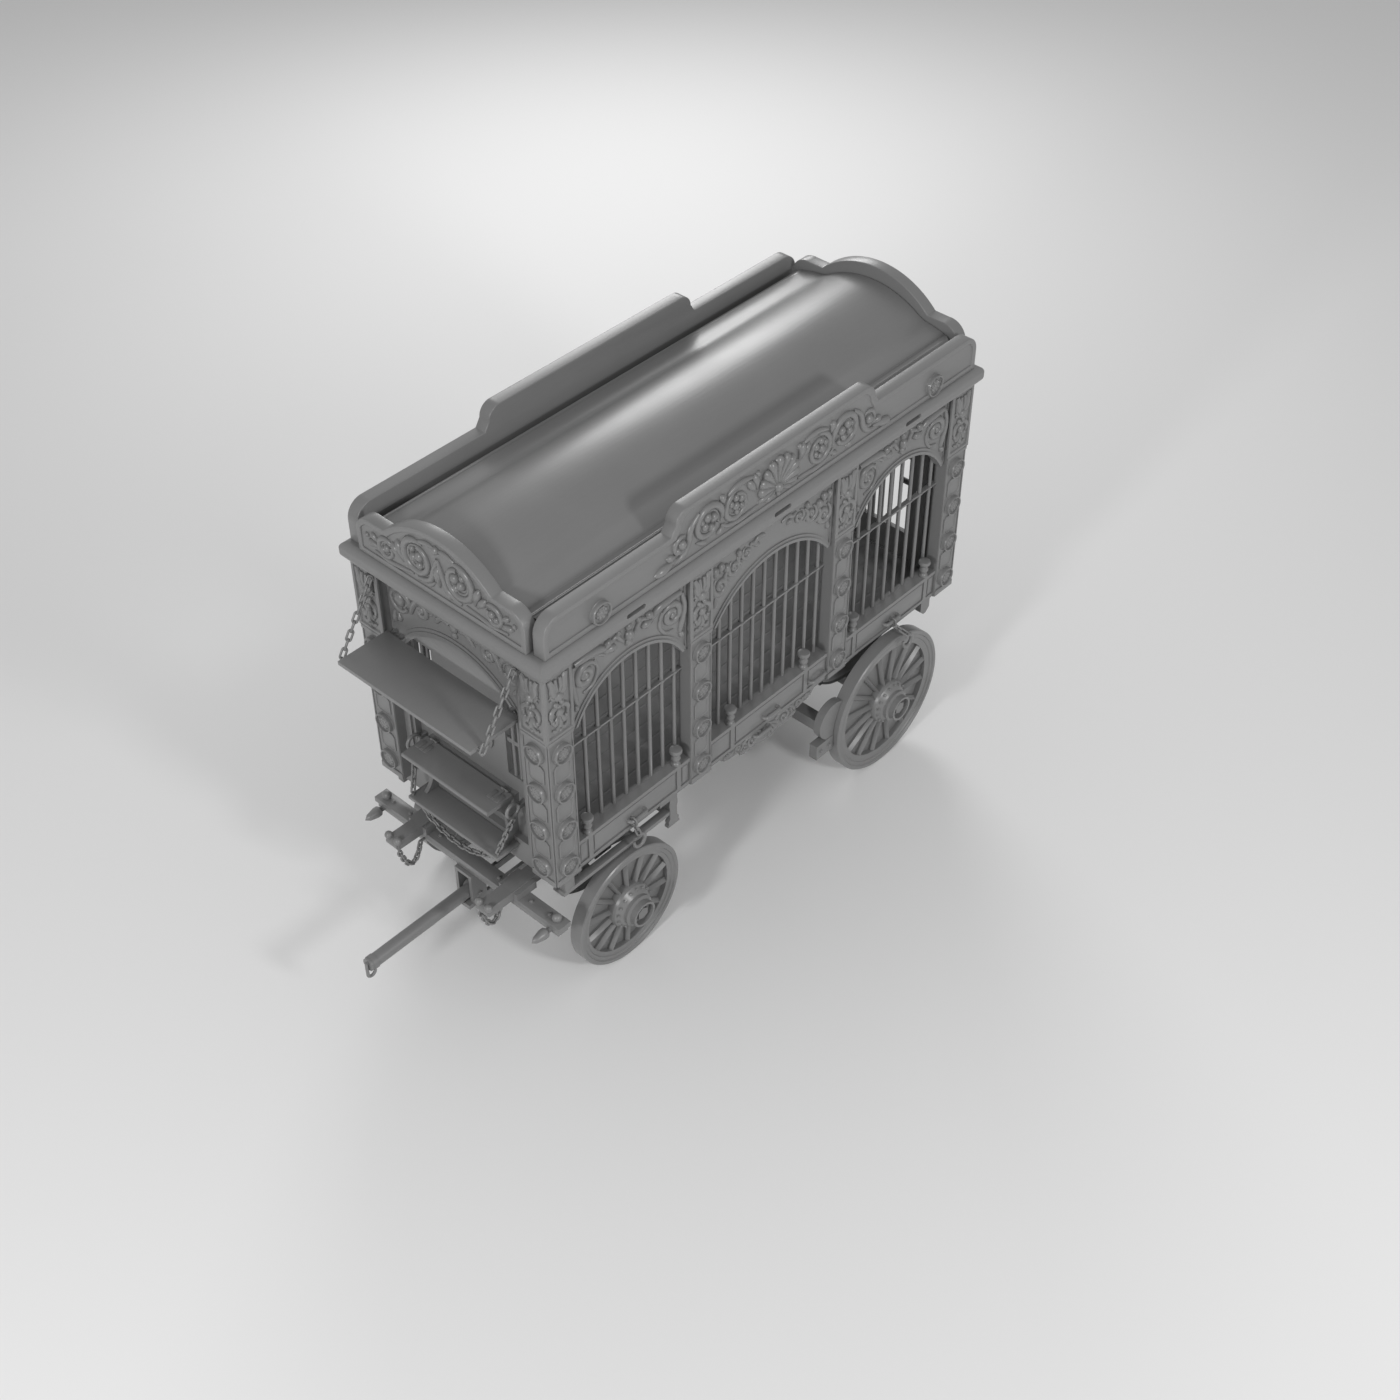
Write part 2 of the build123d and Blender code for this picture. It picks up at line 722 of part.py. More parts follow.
def scroll_cheek():
    """Curved cheek under the left end of the seat."""
    back = END_FACE - END_WALL
    top = SEAT_TOP - SEAT_THICK - RUN_CLEAR
    lip = SEAT_FRONT - 60
    waist = END_FACE + 40
    toe = END_FACE + 110
    face = make_face(
        [
            Line((back, DOOR_SILL), (back, top)),
            Line((back, top), (lip, top)),
            ThreePointArc((lip, top), (waist + 30, top - 120), (waist, top - 240)),
            ThreePointArc((waist, top - 240), (waist + 12, FOOT_TOP + 70), (toe, FOOT_TOP)),
            Line((toe, FOOT_TOP), (END_FACE, FOOT_TOP)),
            Line((END_FACE, FOOT_TOP), (END_FACE, DOOR_SILL)),
            Line((END_FACE, DOOR_SILL), (back, DOOR_SILL)),
        ]
    )
    return prism_y(face, CHEEK_Y - CHEEK_THICK, CHEEK_Y)


def seat_knuckle(y, low):
    """Fixed knuckle of the left seat hinge on its ledger."""
    half = SEAT_KNUCKLE / 2
    barrel = rod_y(SEAT_HINGE_X, SEAT_TOP, y - half, y + half, SEAT_KNUCKLE_R)
    foot = block(SEAT_HINGE_X - SEAT_KNUCKLE_R - 10, SEAT_HINGE_X - 4, y - half, y + half, low, SEAT_TOP)
    return fused([barrel, foot])


def seat_ledger():
    """Ledger across the doorway with the fixed knuckles and pins of the seat hinges."""
    top = SEAT_TOP - SEAT_KNUCKLE_R - 3
    shapes = [block(END_FACE - END_WALL, END_FACE, -SEAT_HALF, SEAT_HALF, SEAT_TOP - 90, top)]
    reach = SEAT_KNUCKLE + SIDE_CLEAR
    for side in (-1, 1):
        y = side * SEAT_HINGE_Y
        shapes.append(seat_knuckle(y - reach, top))
        shapes.append(seat_knuckle(y + reach, top))
        shapes.append(rod_y(SEAT_HINGE_X, SEAT_TOP, y - reach, y + reach, SEAT_PIN))
    return fused(shapes)


def seat():
    """Seat board with two strap hinges bored for their pins."""
    board = block(SEAT_HINGE_X, SEAT_FRONT, -SEAT_HALF, SEAT_HALF, SEAT_TOP - SEAT_THICK, SEAT_TOP)
    shapes = [fillet(board.edges().filter_by(Axis.Y).sort_by(Axis.X)[-2:], 12)]
    half = SEAT_KNUCKLE / 2
    reach = SEAT_KNUCKLE + SIDE_CLEAR + half + SIDE_CLEAR
    room = SEAT_KNUCKLE_R + SIDE_CLEAR
    cuts = []
    for side in (-1, 1):
        y = side * SEAT_HINGE_Y
        cuts.append(rod_y(SEAT_HINGE_X, SEAT_TOP, y - reach, y - half, room))
        cuts.append(rod_y(SEAT_HINGE_X, SEAT_TOP, y + half, y + reach, room))
        shapes.append(rod_y(SEAT_HINGE_X, SEAT_TOP, y - half, y + half, SEAT_KNUCKLE_R))
        shapes.append(block(SEAT_HINGE_X, SEAT_HINGE_X + 110, y - half, y + half, SEAT_TOP, SEAT_TOP + 7))
    whole = fused(shapes)
    for cut in cuts:
        whole -= cut
    for side in (-1, 1):
        y = side * SEAT_HINGE_Y
        bore = SEAT_PIN + RUN_CLEAR
        whole -= rod_y(SEAT_HINGE_X, SEAT_TOP, y - reach, y + reach, bore)
    return whole


def stay_ring():
    """Left ring on an arm that holds a footboard chain."""
    x, y, z = STAY_RING
    ring = Pos(x, y, z) * Rot(90, 0, 0) * Torus(STAY_RING_R, STAY_WIRE)
    arm = block(END_FACE - END_WALL, x - STAY_RING_R + 4, y - 16, y + 16, z - 18, z + 18)
    return fused([ring, arm])


def front_wall():
    """Wall behind the doorway with barred side lights and an oval panel."""
    front = END_FACE - END_WALL
    back = front - LINING
    wall = block(back, front, -END_HALF, END_HALF, BASE_Z, EAVES_Z - 60)
    shapes = []
    for side in (-1, 1):
        y0, y1 = sorted((side * LIGHT_IN, side * LIGHT_OUT))
        wall -= block(back - 1, front + 1, y0, y1, SEAT_TOP + 120, ARCH_SPRING + 40)
        for i in (1, 2):
            y = y0 + (y1 - y0) * i / 3
            shapes.append(rod((back + 20, y, SEAT_TOP + 110), (back + 20, y, ARCH_SPRING + 50), BAR_R))
        z = SEAT_TOP + 420
        shapes.append(block(back + 14, back + 26, y0 - 5, y1 + 5, z - 18, z + 18))
    oval = prism_x(Pos(0, SEAT_TOP + 330) * SlotOverall(440, 240), front, front + 14)
    oval -= prism_x(Pos(0, SEAT_TOP + 330) * SlotOverall(400, 200), front, front + 15)
    return fused([wall, oval, *shapes])


def hood():
    """Hood board with bored hinge knuckles and end pins."""
    rear = HOOD_HINGE_X + 16
    board = block(rear, HOOD_FRONT, -HOOD_HALF, HOOD_HALF, HOOD_TOP - HOOD_THICK, HOOD_TOP)
    lower = board.faces().sort_by(Axis.Z)[0].edges().sort_by(Axis.X)[1:]
    shapes = [chamfer(lower, 14)]
    half = HOOD_KNUCKLE
    for side in (-1, 1):
        y = side * HOOD_HINGE_Y
        shapes.append(rod_y(HOOD_HINGE_X, HOOD_MID, y - half, y + half, 12))
        shapes.append(block(HOOD_HINGE_X, rear + 20, y - half, y + half, HOOD_MID - 6, HOOD_MID + 6))
        pin = side * (HOOD_HALF + 8)
        shapes.append(rod((HOOD_PIN_X, side * (HOOD_HALF - 28), HOOD_MID), (HOOD_PIN_X, pin, HOOD_MID), 9))
    whole = fused(shapes)
    for side in (-1, 1):
        y = side * HOOD_HINGE_Y
        bore = HINGE_PIN + RUN_CLEAR
        whole -= rod_y(HOOD_HINGE_X, HOOD_MID, y - half - 1, y + half + 1, bore)
    return whole


def hood_hinges():
    """Fixed knuckles and pins of the hood on the front frame."""
    shapes = []
    out = HOOD_KNUCKLE + SIDE_CLEAR + HOOD_LUG / 2
    half = HOOD_LUG / 2
    for middle in (-HOOD_HINGE_Y, HOOD_HINGE_Y):
        pin = rod_y(HOOD_HINGE_X, HOOD_MID, middle - out, middle + out, HINGE_PIN)
        shapes.append(pin)
        for y in (middle - out, middle + out):
            shapes.append(block(END_FACE, HOOD_HINGE_X, y - half, y + half, HOOD_MID - 10, HOOD_MID + 10))
            shapes.append(rod_y(HOOD_HINGE_X, HOOD_MID, y - half, y + half, 12))
    return shapes


def hood_chain():
    """Left hood chain from its eye to the peg under the board's end pin."""
    x, y, z = HOOD_EYE
    top = Vector(x, y, z)
    low = Vector(HOOD_PIN_X, y, HOOD_MID)
    along = (low - top).normalized()
    start = top - along * (HOOD_EYE_R + 0.5 + RUN_CLEAR)
    peg = low + along * 18
    links = chain(spaced(tuple(start), tuple(peg - along * 5), HOOD_LINK_COUNT))
    hook = rod((peg.X, y, peg.Z), (peg.X, HOOD_HALF + 1.5, peg.Z), 7)
    return fused([links, hook])


def hood_eye():
    """Left eye bracket on the corner post that holds a hood chain."""
    x, y, z = HOOD_EYE
    arm = block(HALF_L, x + 12, y + 25, y + 41, z - 14, z + 14)
    return fused([arm, rod_y(x, z, y - 16, y + 30, HOOD_EYE_R)])


def splinter_bar():
    """Cross bar with end knobs and forward spindles."""
    low = BAR_TOP_Z - BAR_TALL
    middle = BAR_TOP_Z - BAR_TALL / 2
    shapes = [
        block(BAR_REAR, BAR_FRONT, -BAR_HALF, BAR_HALF, middle, BAR_TOP_Z),
        block(BAR_REAR + 10, BAR_FRONT - 10, 20 - BAR_HALF, BAR_HALF - 20, low, middle),
    ]
    for side in (-1, 1):
        centre = Pos((BAR_REAR + BAR_FRONT) / 2, side * (BAR_HALF - 75), BAR_TOP_Z + 26)
        shapes.append(centre * Sphere(36))
        spindle = turned([(0, 0), (20, 0), (20, 36), (40, 56), (40, 86), (26, 150), (0, 186)])
        shapes.append(Pos(BAR_FRONT - 12, side * (BAR_HALF - 90), middle - 7) * Rot(0, 0, -90) * spindle)
    return fused(shapes)


def futchell():
    """Left arm from the bolster over the splinter bar to its rounded tip."""
    rear = KING_X + BOLSTER_WIDE / 2
    half = ARM_WIDE / 2
    tip = ARM_TIP - 30
    side_view = make_face(
        [
            Line((rear, BAR_TOP_Z), (rear, ARM_TOP)),
            Line((rear, ARM_TOP), (BAR_FRONT + 20, ARM_TOP)),
            Line((BAR_FRONT + 20, ARM_TOP), (tip, ARM_TOP + 6)),
            ThreePointArc((tip, ARM_TOP + 6), (ARM_TIP, ARM_TOP - 34), (tip - 4, ARM_TOP - 72)),
            Line((tip - 4, ARM_TOP - 72), (BAR_FRONT + 30, BAR_TOP_Z)),
            Line((BAR_FRONT + 30, BAR_TOP_Z), (rear, BAR_TOP_Z)),
        ]
    )
    shapes = [prism_y(side_view, ARM_Y - half, ARM_Y + half)]
    shapes.append(block(BAR_REAR - 60, BAR_FRONT + 10, ARM_Y - 90, ARM_Y + 90, BAR_TOP_Z, ARM_TOP - 12))
    for y in (ARM_Y - ARM_KNOB, ARM_Y + ARM_KNOB):
        shapes.append(Pos(ARM_TIP - 26, y, ARM_TOP + 12) * Sphere(30))
    return fused(shapes)


def pole_jaw():
    """Jaw under the splinter bar with cheeks, pin, stop and hounds back to the axle."""
    low = POLE_Z - POLE_R - 40
    top = BAR_TOP_Z - BAR_TALL
    inside = POLE_R + JAW_CLEAR
    wide = inside + JAW_CHEEK
    front = BAR_FRONT + 20
    axle_face = KING_X + AXLE_WIDE / 2
    shapes = []
    for side in (-1, 1):
        y0, y1 = sorted((side * inside, side * wide))
        shapes.append(block(BAR_REAR, front, y0, y1, low, top))
        shapes.append(block(axle_face, BAR_REAR + 5, y0, y1, POLE_Z - 90, POLE_Z - 30))
    shapes.append(block(BAR_REAR, front, -wide, wide, top - 30, top))
    shapes.append(block(BAR_REAR, BAR_REAR + 4, -wide, wide, low, top))
    shapes.append(block(BAR_REAR, front + 40, -wide, wide, low, POLE_Z - POLE_R - RUN_CLEAR))
    shapes.append(rod_y(POLE_PIN_X, POLE_Z, -wide - 10, wide + 10, POLE_PIN))
    return fused(shapes)


def pole():
    """Round draught pole with a bored root and a hook at the tip."""
    body = rod((POLE_PIN_X, 0, POLE_Z), (POLE_TIP, 0, POLE_Z), POLE_R)
    root = rod_y(POLE_PIN_X, POLE_Z, -POLE_R, POLE_R, POLE_R)
    band = rod((POLE_TIP - 60, 0, POLE_Z), (POLE_TIP - 20, 0, POLE_Z), POLE_R + 5)
    hook_x = POLE_TIP + HOOK_OUT
    low = POLE_Z - 92
    bend_r = 32
    shank = rod((POLE_TIP - 6, 0, POLE_Z + 20), (hook_x - 3, 0, POLE_Z + 20), HOOK_R)
    drop = rod((hook_x, 0, POLE_Z + 32), (hook_x, 0, low), HOOK_R)
    bend = Pos(hook_x - bend_r, 0, low) * Rot(90, 0, 0) * Torus(bend_r, HOOK_R)
    bend &= block(hook_x - 3 * bend_r, hook_x + bend_r, -20, 20, low - 50, low)
    tip = rod((hook_x - 2 * bend_r, 0, low), (hook_x - 2 * bend_r, 0, low + 22), HOOK_R)
    whole = fused([body, root, band, shank, drop, bend, tip])
    reach = POLE_R + 9
    return whole - rod_y(POLE_PIN_X, POLE_Z, -reach, reach, POLE_PIN + RUN_CLEAR)


def apron():
    """Scalloped board under the left centre bay."""
    top = SILL_BOTTOM
    half = APRON_HALF
    sag = 34
    deep = APRON_DEEP - sag
    steps = [(half, 25), (0.62 * half, 0.6 * deep), (0.24 * half, deep)]
    drops = [(x, top - z) for x, z in steps] + [(-x, top - z) for x, z in reversed(steps)]
    edges = [Line((-half, top), (half, top)), Line((half, top), drops[0])]
    for (xa, za), (xb, zb) in zip(drops, drops[1:]):
        edges.append(ThreePointArc((xa, za), ((xa + xb) / 2, (za + zb) / 2 - sag), (xb, zb)))
    edges.append(Line(drops[-1], (-half, top)))
    return prism_y(make_face(edges), WALL_IN, APRON_FACE)


def lock_chain(centre, hook, count):
    """Shackle on a left sill staple, its short chain and an open hook."""
    y = SILL_FACE + STAPLE_OUT - STAPLE_BAR / 2
    inner = SHACKLE_R - SHACKLE_WIRE
    rise = (inner**2 - (STAPLE_BAR / 2) ** 2) ** 0.5 - RUN_CLEAR
    z = STAPLE_Z + STAPLE_TALL / 2 - rise
    shackle = Pos(centre, y, z) * Rot(0, 90, 0) * Torus(SHACKLE_R, SHACKLE_WIRE)
    links = chain(spaced((centre, y, z - SHACKLE_R), hook, count), side=(1, 0, 0))
    ring = Torus(LOCK_HOOK_R, 11) - Pos(30, 24, 0) * Box(40, 30, 40)
    hx, hy, hz = hook
    return fused([shackle, links, Pos(hx, hy, hz - 44) * Rot(90, 0, 0) * ring])


def brake_shoe():
    """Left shoe ahead of the rear wheel with a foot block under its bowed front."""
    x, radius, _, _, _ = REAR_WHEEL
    low = radius + SHOE_GAP
    a0 = radians(2)
    a1 = radians(32)
    mid = (a0 + a1) / 2

    def at(r, a):
        return (x + r * cos(a), radius + r * sin(a))

    face = make_face(
        [
            ThreePointArc(at(low, a0), at(low, mid), at(low, a1)),
            ThreePointArc(at(low, a1), at(low + SHOE_DEEP, mid), at(low, a0)),
        ]
    )
    shoe = prism_y(face, SHOE_Y, SHOE_Y + SHOE_WIDE)
    foot = block(x + low, x + low + SHOE_FOOT, SHOE_Y, SHOE_Y + SHOE_WIDE + 6, radius - 94, radius + 42)
    return fused([shoe, foot - prism_y(Pos(x, radius) * Circle(low), SHOE_Y - 1, SHOE_Y + SHOE_WIDE + 7)])


def underframe():
    """Long rails, end beams and cross beams under the floor."""
    half_y = HALF_W - WALL_BACK
    plate = prism_z(RectangleRounded(2 * END_FACE, 2 * half_y, FRAME_ROUND), FRAME_BOTTOM, BASE_Z)
    rail_y = half_y - FRAME_BEAM
    end_x = END_FACE - FRAME_BEAM
    beams = [
        plate & block(-END_FACE, END_FACE, rail_y, half_y, FRAME_BOTTOM, BASE_Z),
        plate & block(-END_FACE, END_FACE, -half_y, -rail_y, FRAME_BOTTOM, BASE_Z),
        block(end_x, END_FACE, -rail_y, rail_y, FRAME_BOTTOM, BASE_Z),
        block(-END_FACE, -end_x, -rail_y, rail_y, FRAME_BOTTOM, BASE_Z),
    ]
    half = FRAME_BEAM / 2
    for x in (REAR_WHEEL[0], BRAKE_X, KING_X - 620, KING_X, KING_X + 340):
        beams.append(block(x - half, x + half, -rail_y, rail_y, FRAME_BOTTOM, BASE_Z))
    return beams


def cornice():
    """Half-round cornice in four pieces with drain slots over the bays."""
    out_x = HALF_L + CORNICE_OUT
    out_y = HALF_W + CORNICE_OUT
    in_x = HALF_L - CORNICE_DEEP
    in_y = HALF_W - CORNICE_DEEP
    ring = block(-out_x, out_x, -out_y, out_y, EAVES_Z, CORNICE_TOP)
    ring = fillet(ring.edges().filter_by(lambda e: abs((e @ 1 - e @ 0).Z) < 1), CORNICE_OUT - 1)
    ring -= block(-in_x, in_x, -in_y, in_y, EAVES_Z - 1, CORNICE_TOP + 1)
    for centre, _, _ in BAYS:
        slot = prism_y(Pos(centre, EAVES_Z + 92) * SlotOverall(SLOT_LONG, SLOT_TALL), HALF_W + 18, out_y + 5)
        for cut in both_sides(slot):
            ring -= cut
    cuts = [
        block(in_x, out_x, -out_y, out_y, EAVES_Z, CORNICE_TOP),
        block(-out_x, -in_x, -out_y, out_y, EAVES_Z, CORNICE_TOP),
        block(-in_x, in_x, 0, out_y, EAVES_Z, CORNICE_TOP),
        block(-in_x, in_x, -out_y, 0, EAVES_Z, CORNICE_TOP),
    ]
    return [ring & cut for cut in cuts]


def side_fittings():
    """Apron, pins, straps, staples and brackets of the left side."""
    fittings = [apron(), corbel(), beam_end()]
    for x in PIN_X:
        fittings.extend([capped_pin(x), strap(x)])
    for x in STAPLE_X:
        fittings.extend(staple(x, SILL_FACE, STAPLE_Z))
    fittings.extend(staple(LOW_STAPLE_X, APRON_FACE, LOW_STAPLE_Z))
    return fittings


def footboard_chains():
    """Stay chains from the rings and two swags under the footboard."""
    x, y, z = STAY_RING
    eye = (FOOT_FRONT - 30, FOOT_HALF - 25, FOOT_TOP + 30)
    stay = chain(spaced((x, y, z - STAY_RING_R - STAY_WIRE - 4 - WIRE), eye, 7))
    stay = fused([stay, rod((eye[0], eye[1], FOOT_TOP), eye, 10)])
    board = FOOT_TOP - FOOT_THICK
    swags = []
    for back, half, drop, count in ((31, FOOT_HALF - 120, 116, 13), (86, FOOT_HALF - 160, 72, 11)):
        at = FOOT_FRONT - back
        ends = [(at, -half, board - 34), (at, half, board - 34)]
        parts = [chain(hanging(*ends, drop, count), side=(1, 0, 0))]
        parts.extend(rod(end, (end[0], end[1], board), 10) for end in ends)
        swags.append(fused(parts))
    return [*both_sides(stay), *swags]


def futchell_loop(arm):
    """Left chain loop from a futchell's tip down to the splinter bar."""
    y = ARM_Y - ARM_KNOB
    tip = (ARM_TIP - 26, y, ARM_TOP - 98)
    eye = (BAR_FRONT + 36, y, BAR_TOP_Z - 60)
    hanger = rod((tip[0], y, ARM_TOP - 40), tip, 10) - arm
    return fused([chain(hanging(tip, eye, 108, 8)), hanger, rod((BAR_FRONT, y, eye[2]), eye, 10)])


def main():
    """Every piece of the wagon."""
    os.makedirs("parts", exist_ok=True)

    # Box
    left_posts = [*corner_post(1), *corner_post(-1)]
    half = PILASTER / 2
    for x in (-PILASTER_X, PILASTER_X):
        left_posts.append(block(x - half, x + half, HALF_W - POST_LEG, HALF_W, BASE_Z, EAVES_Z))
    left_frame = [bay_panel(centre, wide) for centre, wide, _ in BAYS]
    left_frame.extend(bay_sill(centre, wide) for centre, wide, _ in BAYS)
    left_bars = [bay_bars(*bay) for bay in BAYS]
    left_fittings = side_fittings()
    for name, shapes in (
        ("posts", left_posts),
        ("side_frame", left_frame),
        ("cage_bars", left_bars),
        ("sill_fittings", left_fittings),
        ("parapet", [parapet()]),
    ):
        write(f"{name}_left", shapes)
        write(f"{name}_right", [other_side(shape) for shape in shapes])
    floor_y = HALF_W - POST_LEG
    rear = END_WALL - END_FACE
    write("floor", block(rear, END_FACE - END_WALL - LINING, -floor_y, floor_y, BASE_Z, FLOOR_TOP))
    write("underframe", underframe())
    write("cornice", cornice())
    write("crest_front", crest(1))
    write("crest_rear", crest(-1))
    write("roof", roof())

    # Ends
    write("front_frame", fused([end_frame(1), *hood_hinges()]))
    write("front_wall", front_wall())
    left_leaf = rear_leaf()
    lugs = hinge_lugs()
    write("rear_frame", fused([end_frame(-1), *lugs, *[other_side(lug) for lug in lugs]]))
    write("rear_door_left", left_leaf)
    write("rear_door_right", other_side(left_leaf))

    # Front boards
    write("hood", hood())
    left_chain = hood_chain()
    write("hood_chain_left", left_chain)
    write("hood_chain_right", other_side(left_chain))
    write("hood_eyes", both_sides(hood_eye()))
    write("seat", seat())
    ledger = seat_ledger()
    write("front_brackets", ledger, [cheek - ledger for cheek in both_sides(scroll_cheek())])
    write("stay_rings", both_sides(stay_ring()))
    write("footboard", block(END_FACE, FOOT_FRONT, -FOOT_HALF, FOOT_HALF, FOOT_TOP - FOOT_THICK, FOOT_TOP))
    write("footboard_chains", footboard_chains())

    # Rear running gear
    rear_x, rear_r, rear_face, _, _ = REAR_WHEEL
    half = BOLSTER_WIDE / 2
    low = REAR_BOLSTER_BOTTOM
    bolster = block(rear_x - half, rear_x + half, -BOLSTER_HALF, BOLSTER_HALF, low, FRAME_BOTTOM)
    spring = elliptic_spring(rear_x, rear_r + AXLE_TALL / 2, low)
    write("rear_axle", axle(rear_x, rear_r, rear_face))
    write("rear_springs", bolster, both_sides(spring))
    low = BRAKE_Z - BRAKE_BEAM / 2
    high = BRAKE_Z + BRAKE_BEAM / 2
    beam_x = BRAKE_X - BRAKE_BEAM / 2
    beam = block(beam_x, beam_x + BRAKE_BEAM, -SHOE_Y, SHOE_Y, low, high)
    hanger = block(BRAKE_X - 8, BRAKE_X + 8, SPRING_Y - 30, SPRING_Y + 30, high, FRAME_BOTTOM)
    write("brake_gear", beam, both_sides(hanger), both_sides(brake_shoe()))
    front_hook = (END_BAY - 16, SILL_FACE + 42, BASE_Z - 135)
    rear_hook = (-END_BAY - 59, rear_face + 46, BASE_Z - 5)
    locks = [lock_chain(END_BAY + 52, front_hook, 3), lock_chain(-END_BAY, rear_hook, 3)]
    write("lock_chains", [both_sides(lock) for lock in locks])

    # Forecarriage
    ring = Pos(KING_X, 0) * (Circle(RING_R) - Circle(RING_BORE))
    king = rod((KING_X, 0, BOLSTER_BOTTOM - 40), (KING_X, 0, FRAME_BOTTOM), KING_R)
    write("turntable_upper", prism_z(ring, FRAME_BOTTOM - RING_THICK, FRAME_BOTTOM), king)
    low = RING_TOP - RING_THICK
    bolster = block(KING_X - half, KING_X + half, -BOLSTER_HALF, BOLSTER_HALF, BOLSTER_BOTTOM, low)
    lower = fused([prism_z(ring, low, RING_TOP), bolster])
    write("turntable_lower", lower - rod((KING_X, 0, 0), (KING_X, 0, EAVES_Z), KING_R + RUN_CLEAR))
    _, front_r, front_face, _, _ = FRONT_WHEEL
    spring = elliptic_spring(KING_X, front_r + AXLE_TALL / 2, BOLSTER_BOTTOM)
    write("front_springs", both_sides(spring))
    write("front_axle", axle(KING_X, front_r, front_face))
    arm = futchell()
    write("futchells", both_sides(arm))
    write("splinter_bar", splinter_bar())
    write("futchell_chains", both_sides(futchell_loop(arm)))
    write("pole_jaw", pole_jaw())
    write("pole", pole())

    # Wheels
    for place, sizes in (("front", FRONT_WHEEL), ("rear", REAR_WHEEL)):
        wheel = sunburst_wheel(*sizes)
        write(f"wheel_{place}_left", wheel)
        write(f"wheel_{place}_right", other_side(wheel))


if __name__ == "__main__":
    main()
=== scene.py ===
"""Dresses the circus cage wagon: paint, carving, rosettes, mouldings, bolts and round-wire chains."""
import json
import logging
import math
from dataclasses import dataclass, field
from enum import Enum
from functools import partial
from typing import Any, Callable, ClassVar, Iterable, Sequence

import bpy
from mathutils import Matrix, Vector


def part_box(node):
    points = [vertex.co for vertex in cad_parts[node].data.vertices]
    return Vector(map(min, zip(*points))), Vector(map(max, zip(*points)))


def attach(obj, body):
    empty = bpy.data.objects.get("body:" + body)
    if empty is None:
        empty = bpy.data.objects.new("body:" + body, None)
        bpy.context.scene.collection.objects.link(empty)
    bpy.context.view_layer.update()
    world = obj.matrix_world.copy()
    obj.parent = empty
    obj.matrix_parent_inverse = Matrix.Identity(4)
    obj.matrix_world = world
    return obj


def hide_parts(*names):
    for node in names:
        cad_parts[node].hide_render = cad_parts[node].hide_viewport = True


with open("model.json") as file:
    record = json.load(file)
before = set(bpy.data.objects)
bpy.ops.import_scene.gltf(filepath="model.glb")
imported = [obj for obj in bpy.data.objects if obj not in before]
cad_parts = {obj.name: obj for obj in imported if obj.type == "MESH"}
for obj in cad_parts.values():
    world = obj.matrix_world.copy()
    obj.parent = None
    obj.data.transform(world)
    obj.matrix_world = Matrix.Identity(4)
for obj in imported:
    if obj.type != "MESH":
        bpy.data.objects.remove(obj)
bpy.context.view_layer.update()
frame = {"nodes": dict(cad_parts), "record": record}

LOG = logging.getLogger("wagon")
WAGON = "wagon_body"
FORECARRIAGE = "forecarriage"
AHEAD = Vector((1, 0, 0))
LEFTWARD = Vector((0, 1, 0))
FACING = 0.9
ROUND_ANGLE = 60.0
CARVED_ANGLE = 50.0
Spot = tuple[float, float]
Point = tuple[float, float, float]
Stroke = list[Point]


class Slot(str, Enum):
    """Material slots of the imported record."""

    TIMBER = "painted_timber"
    IRON = "painted_iron"


class Face(Enum):
    """Outer faces of the box, each with the axis of its panels' u and its outward normal."""

    LEFT = (Vector((-1, 0, 0)), Vector((0, 1, 0)))
    RIGHT = (Vector((1, 0, 0)), Vector((0, -1, 0)))
    FRONT = (Vector((0, 1, 0)), Vector((1, 0, 0)))
    REAR = (Vector((0, -1, 0)), Vector((-1, 0, 0)))

    def plane(self, origin: Sequence[float]) -> Matrix:
        """Matrix from panel coordinates to the row frame.

        Args:
            origin: The panel's zero point in the row frame.

        Returns:
            The placing matrix, with v along +Z.
        """
        across, out = self.value
        up = Vector((0, 0, 1))
        place = Matrix((across, up, out)).transposed().to_4x4()
        place.translation = Vector(origin)
        return place


SIDES = ((Face.LEFT, 1), (Face.RIGHT, -1))
ENDS = ((Face.FRONT, 1), (Face.REAR, -1))


@dataclass(frozen=True)
class Value:
    """A shader socket with the arithmetic that the paints use."""

    graph: "Graph"
    socket: Any

    def _math(self, operation: str, first: Any, second: Any) -> "Value":
        """Adds one Math node.

        Args:
            operation: The Math node's operation.
            first: Left operand.
            second: Right operand.

        Returns:
            The node's output.
        """
        return self.graph.add("ShaderNodeMath", {"operation": operation}, {0: first, 1: second})

    def __add__(self, other: Any) -> "Value":
        """Sum."""
        return self._math("ADD", self, other)

    def __radd__(self, other: Any) -> "Value":
        """Sum with a number first."""
        return self._math("ADD", other, self)

    def __mul__(self, other: Any) -> "Value":
        """Product."""
        return self._math("MULTIPLY", self, other)

    def clamp(self) -> "Value":
        """Limits the value to the range from 0 to 1."""
        return self.graph.add("ShaderNodeClamp", {}, {0: self})


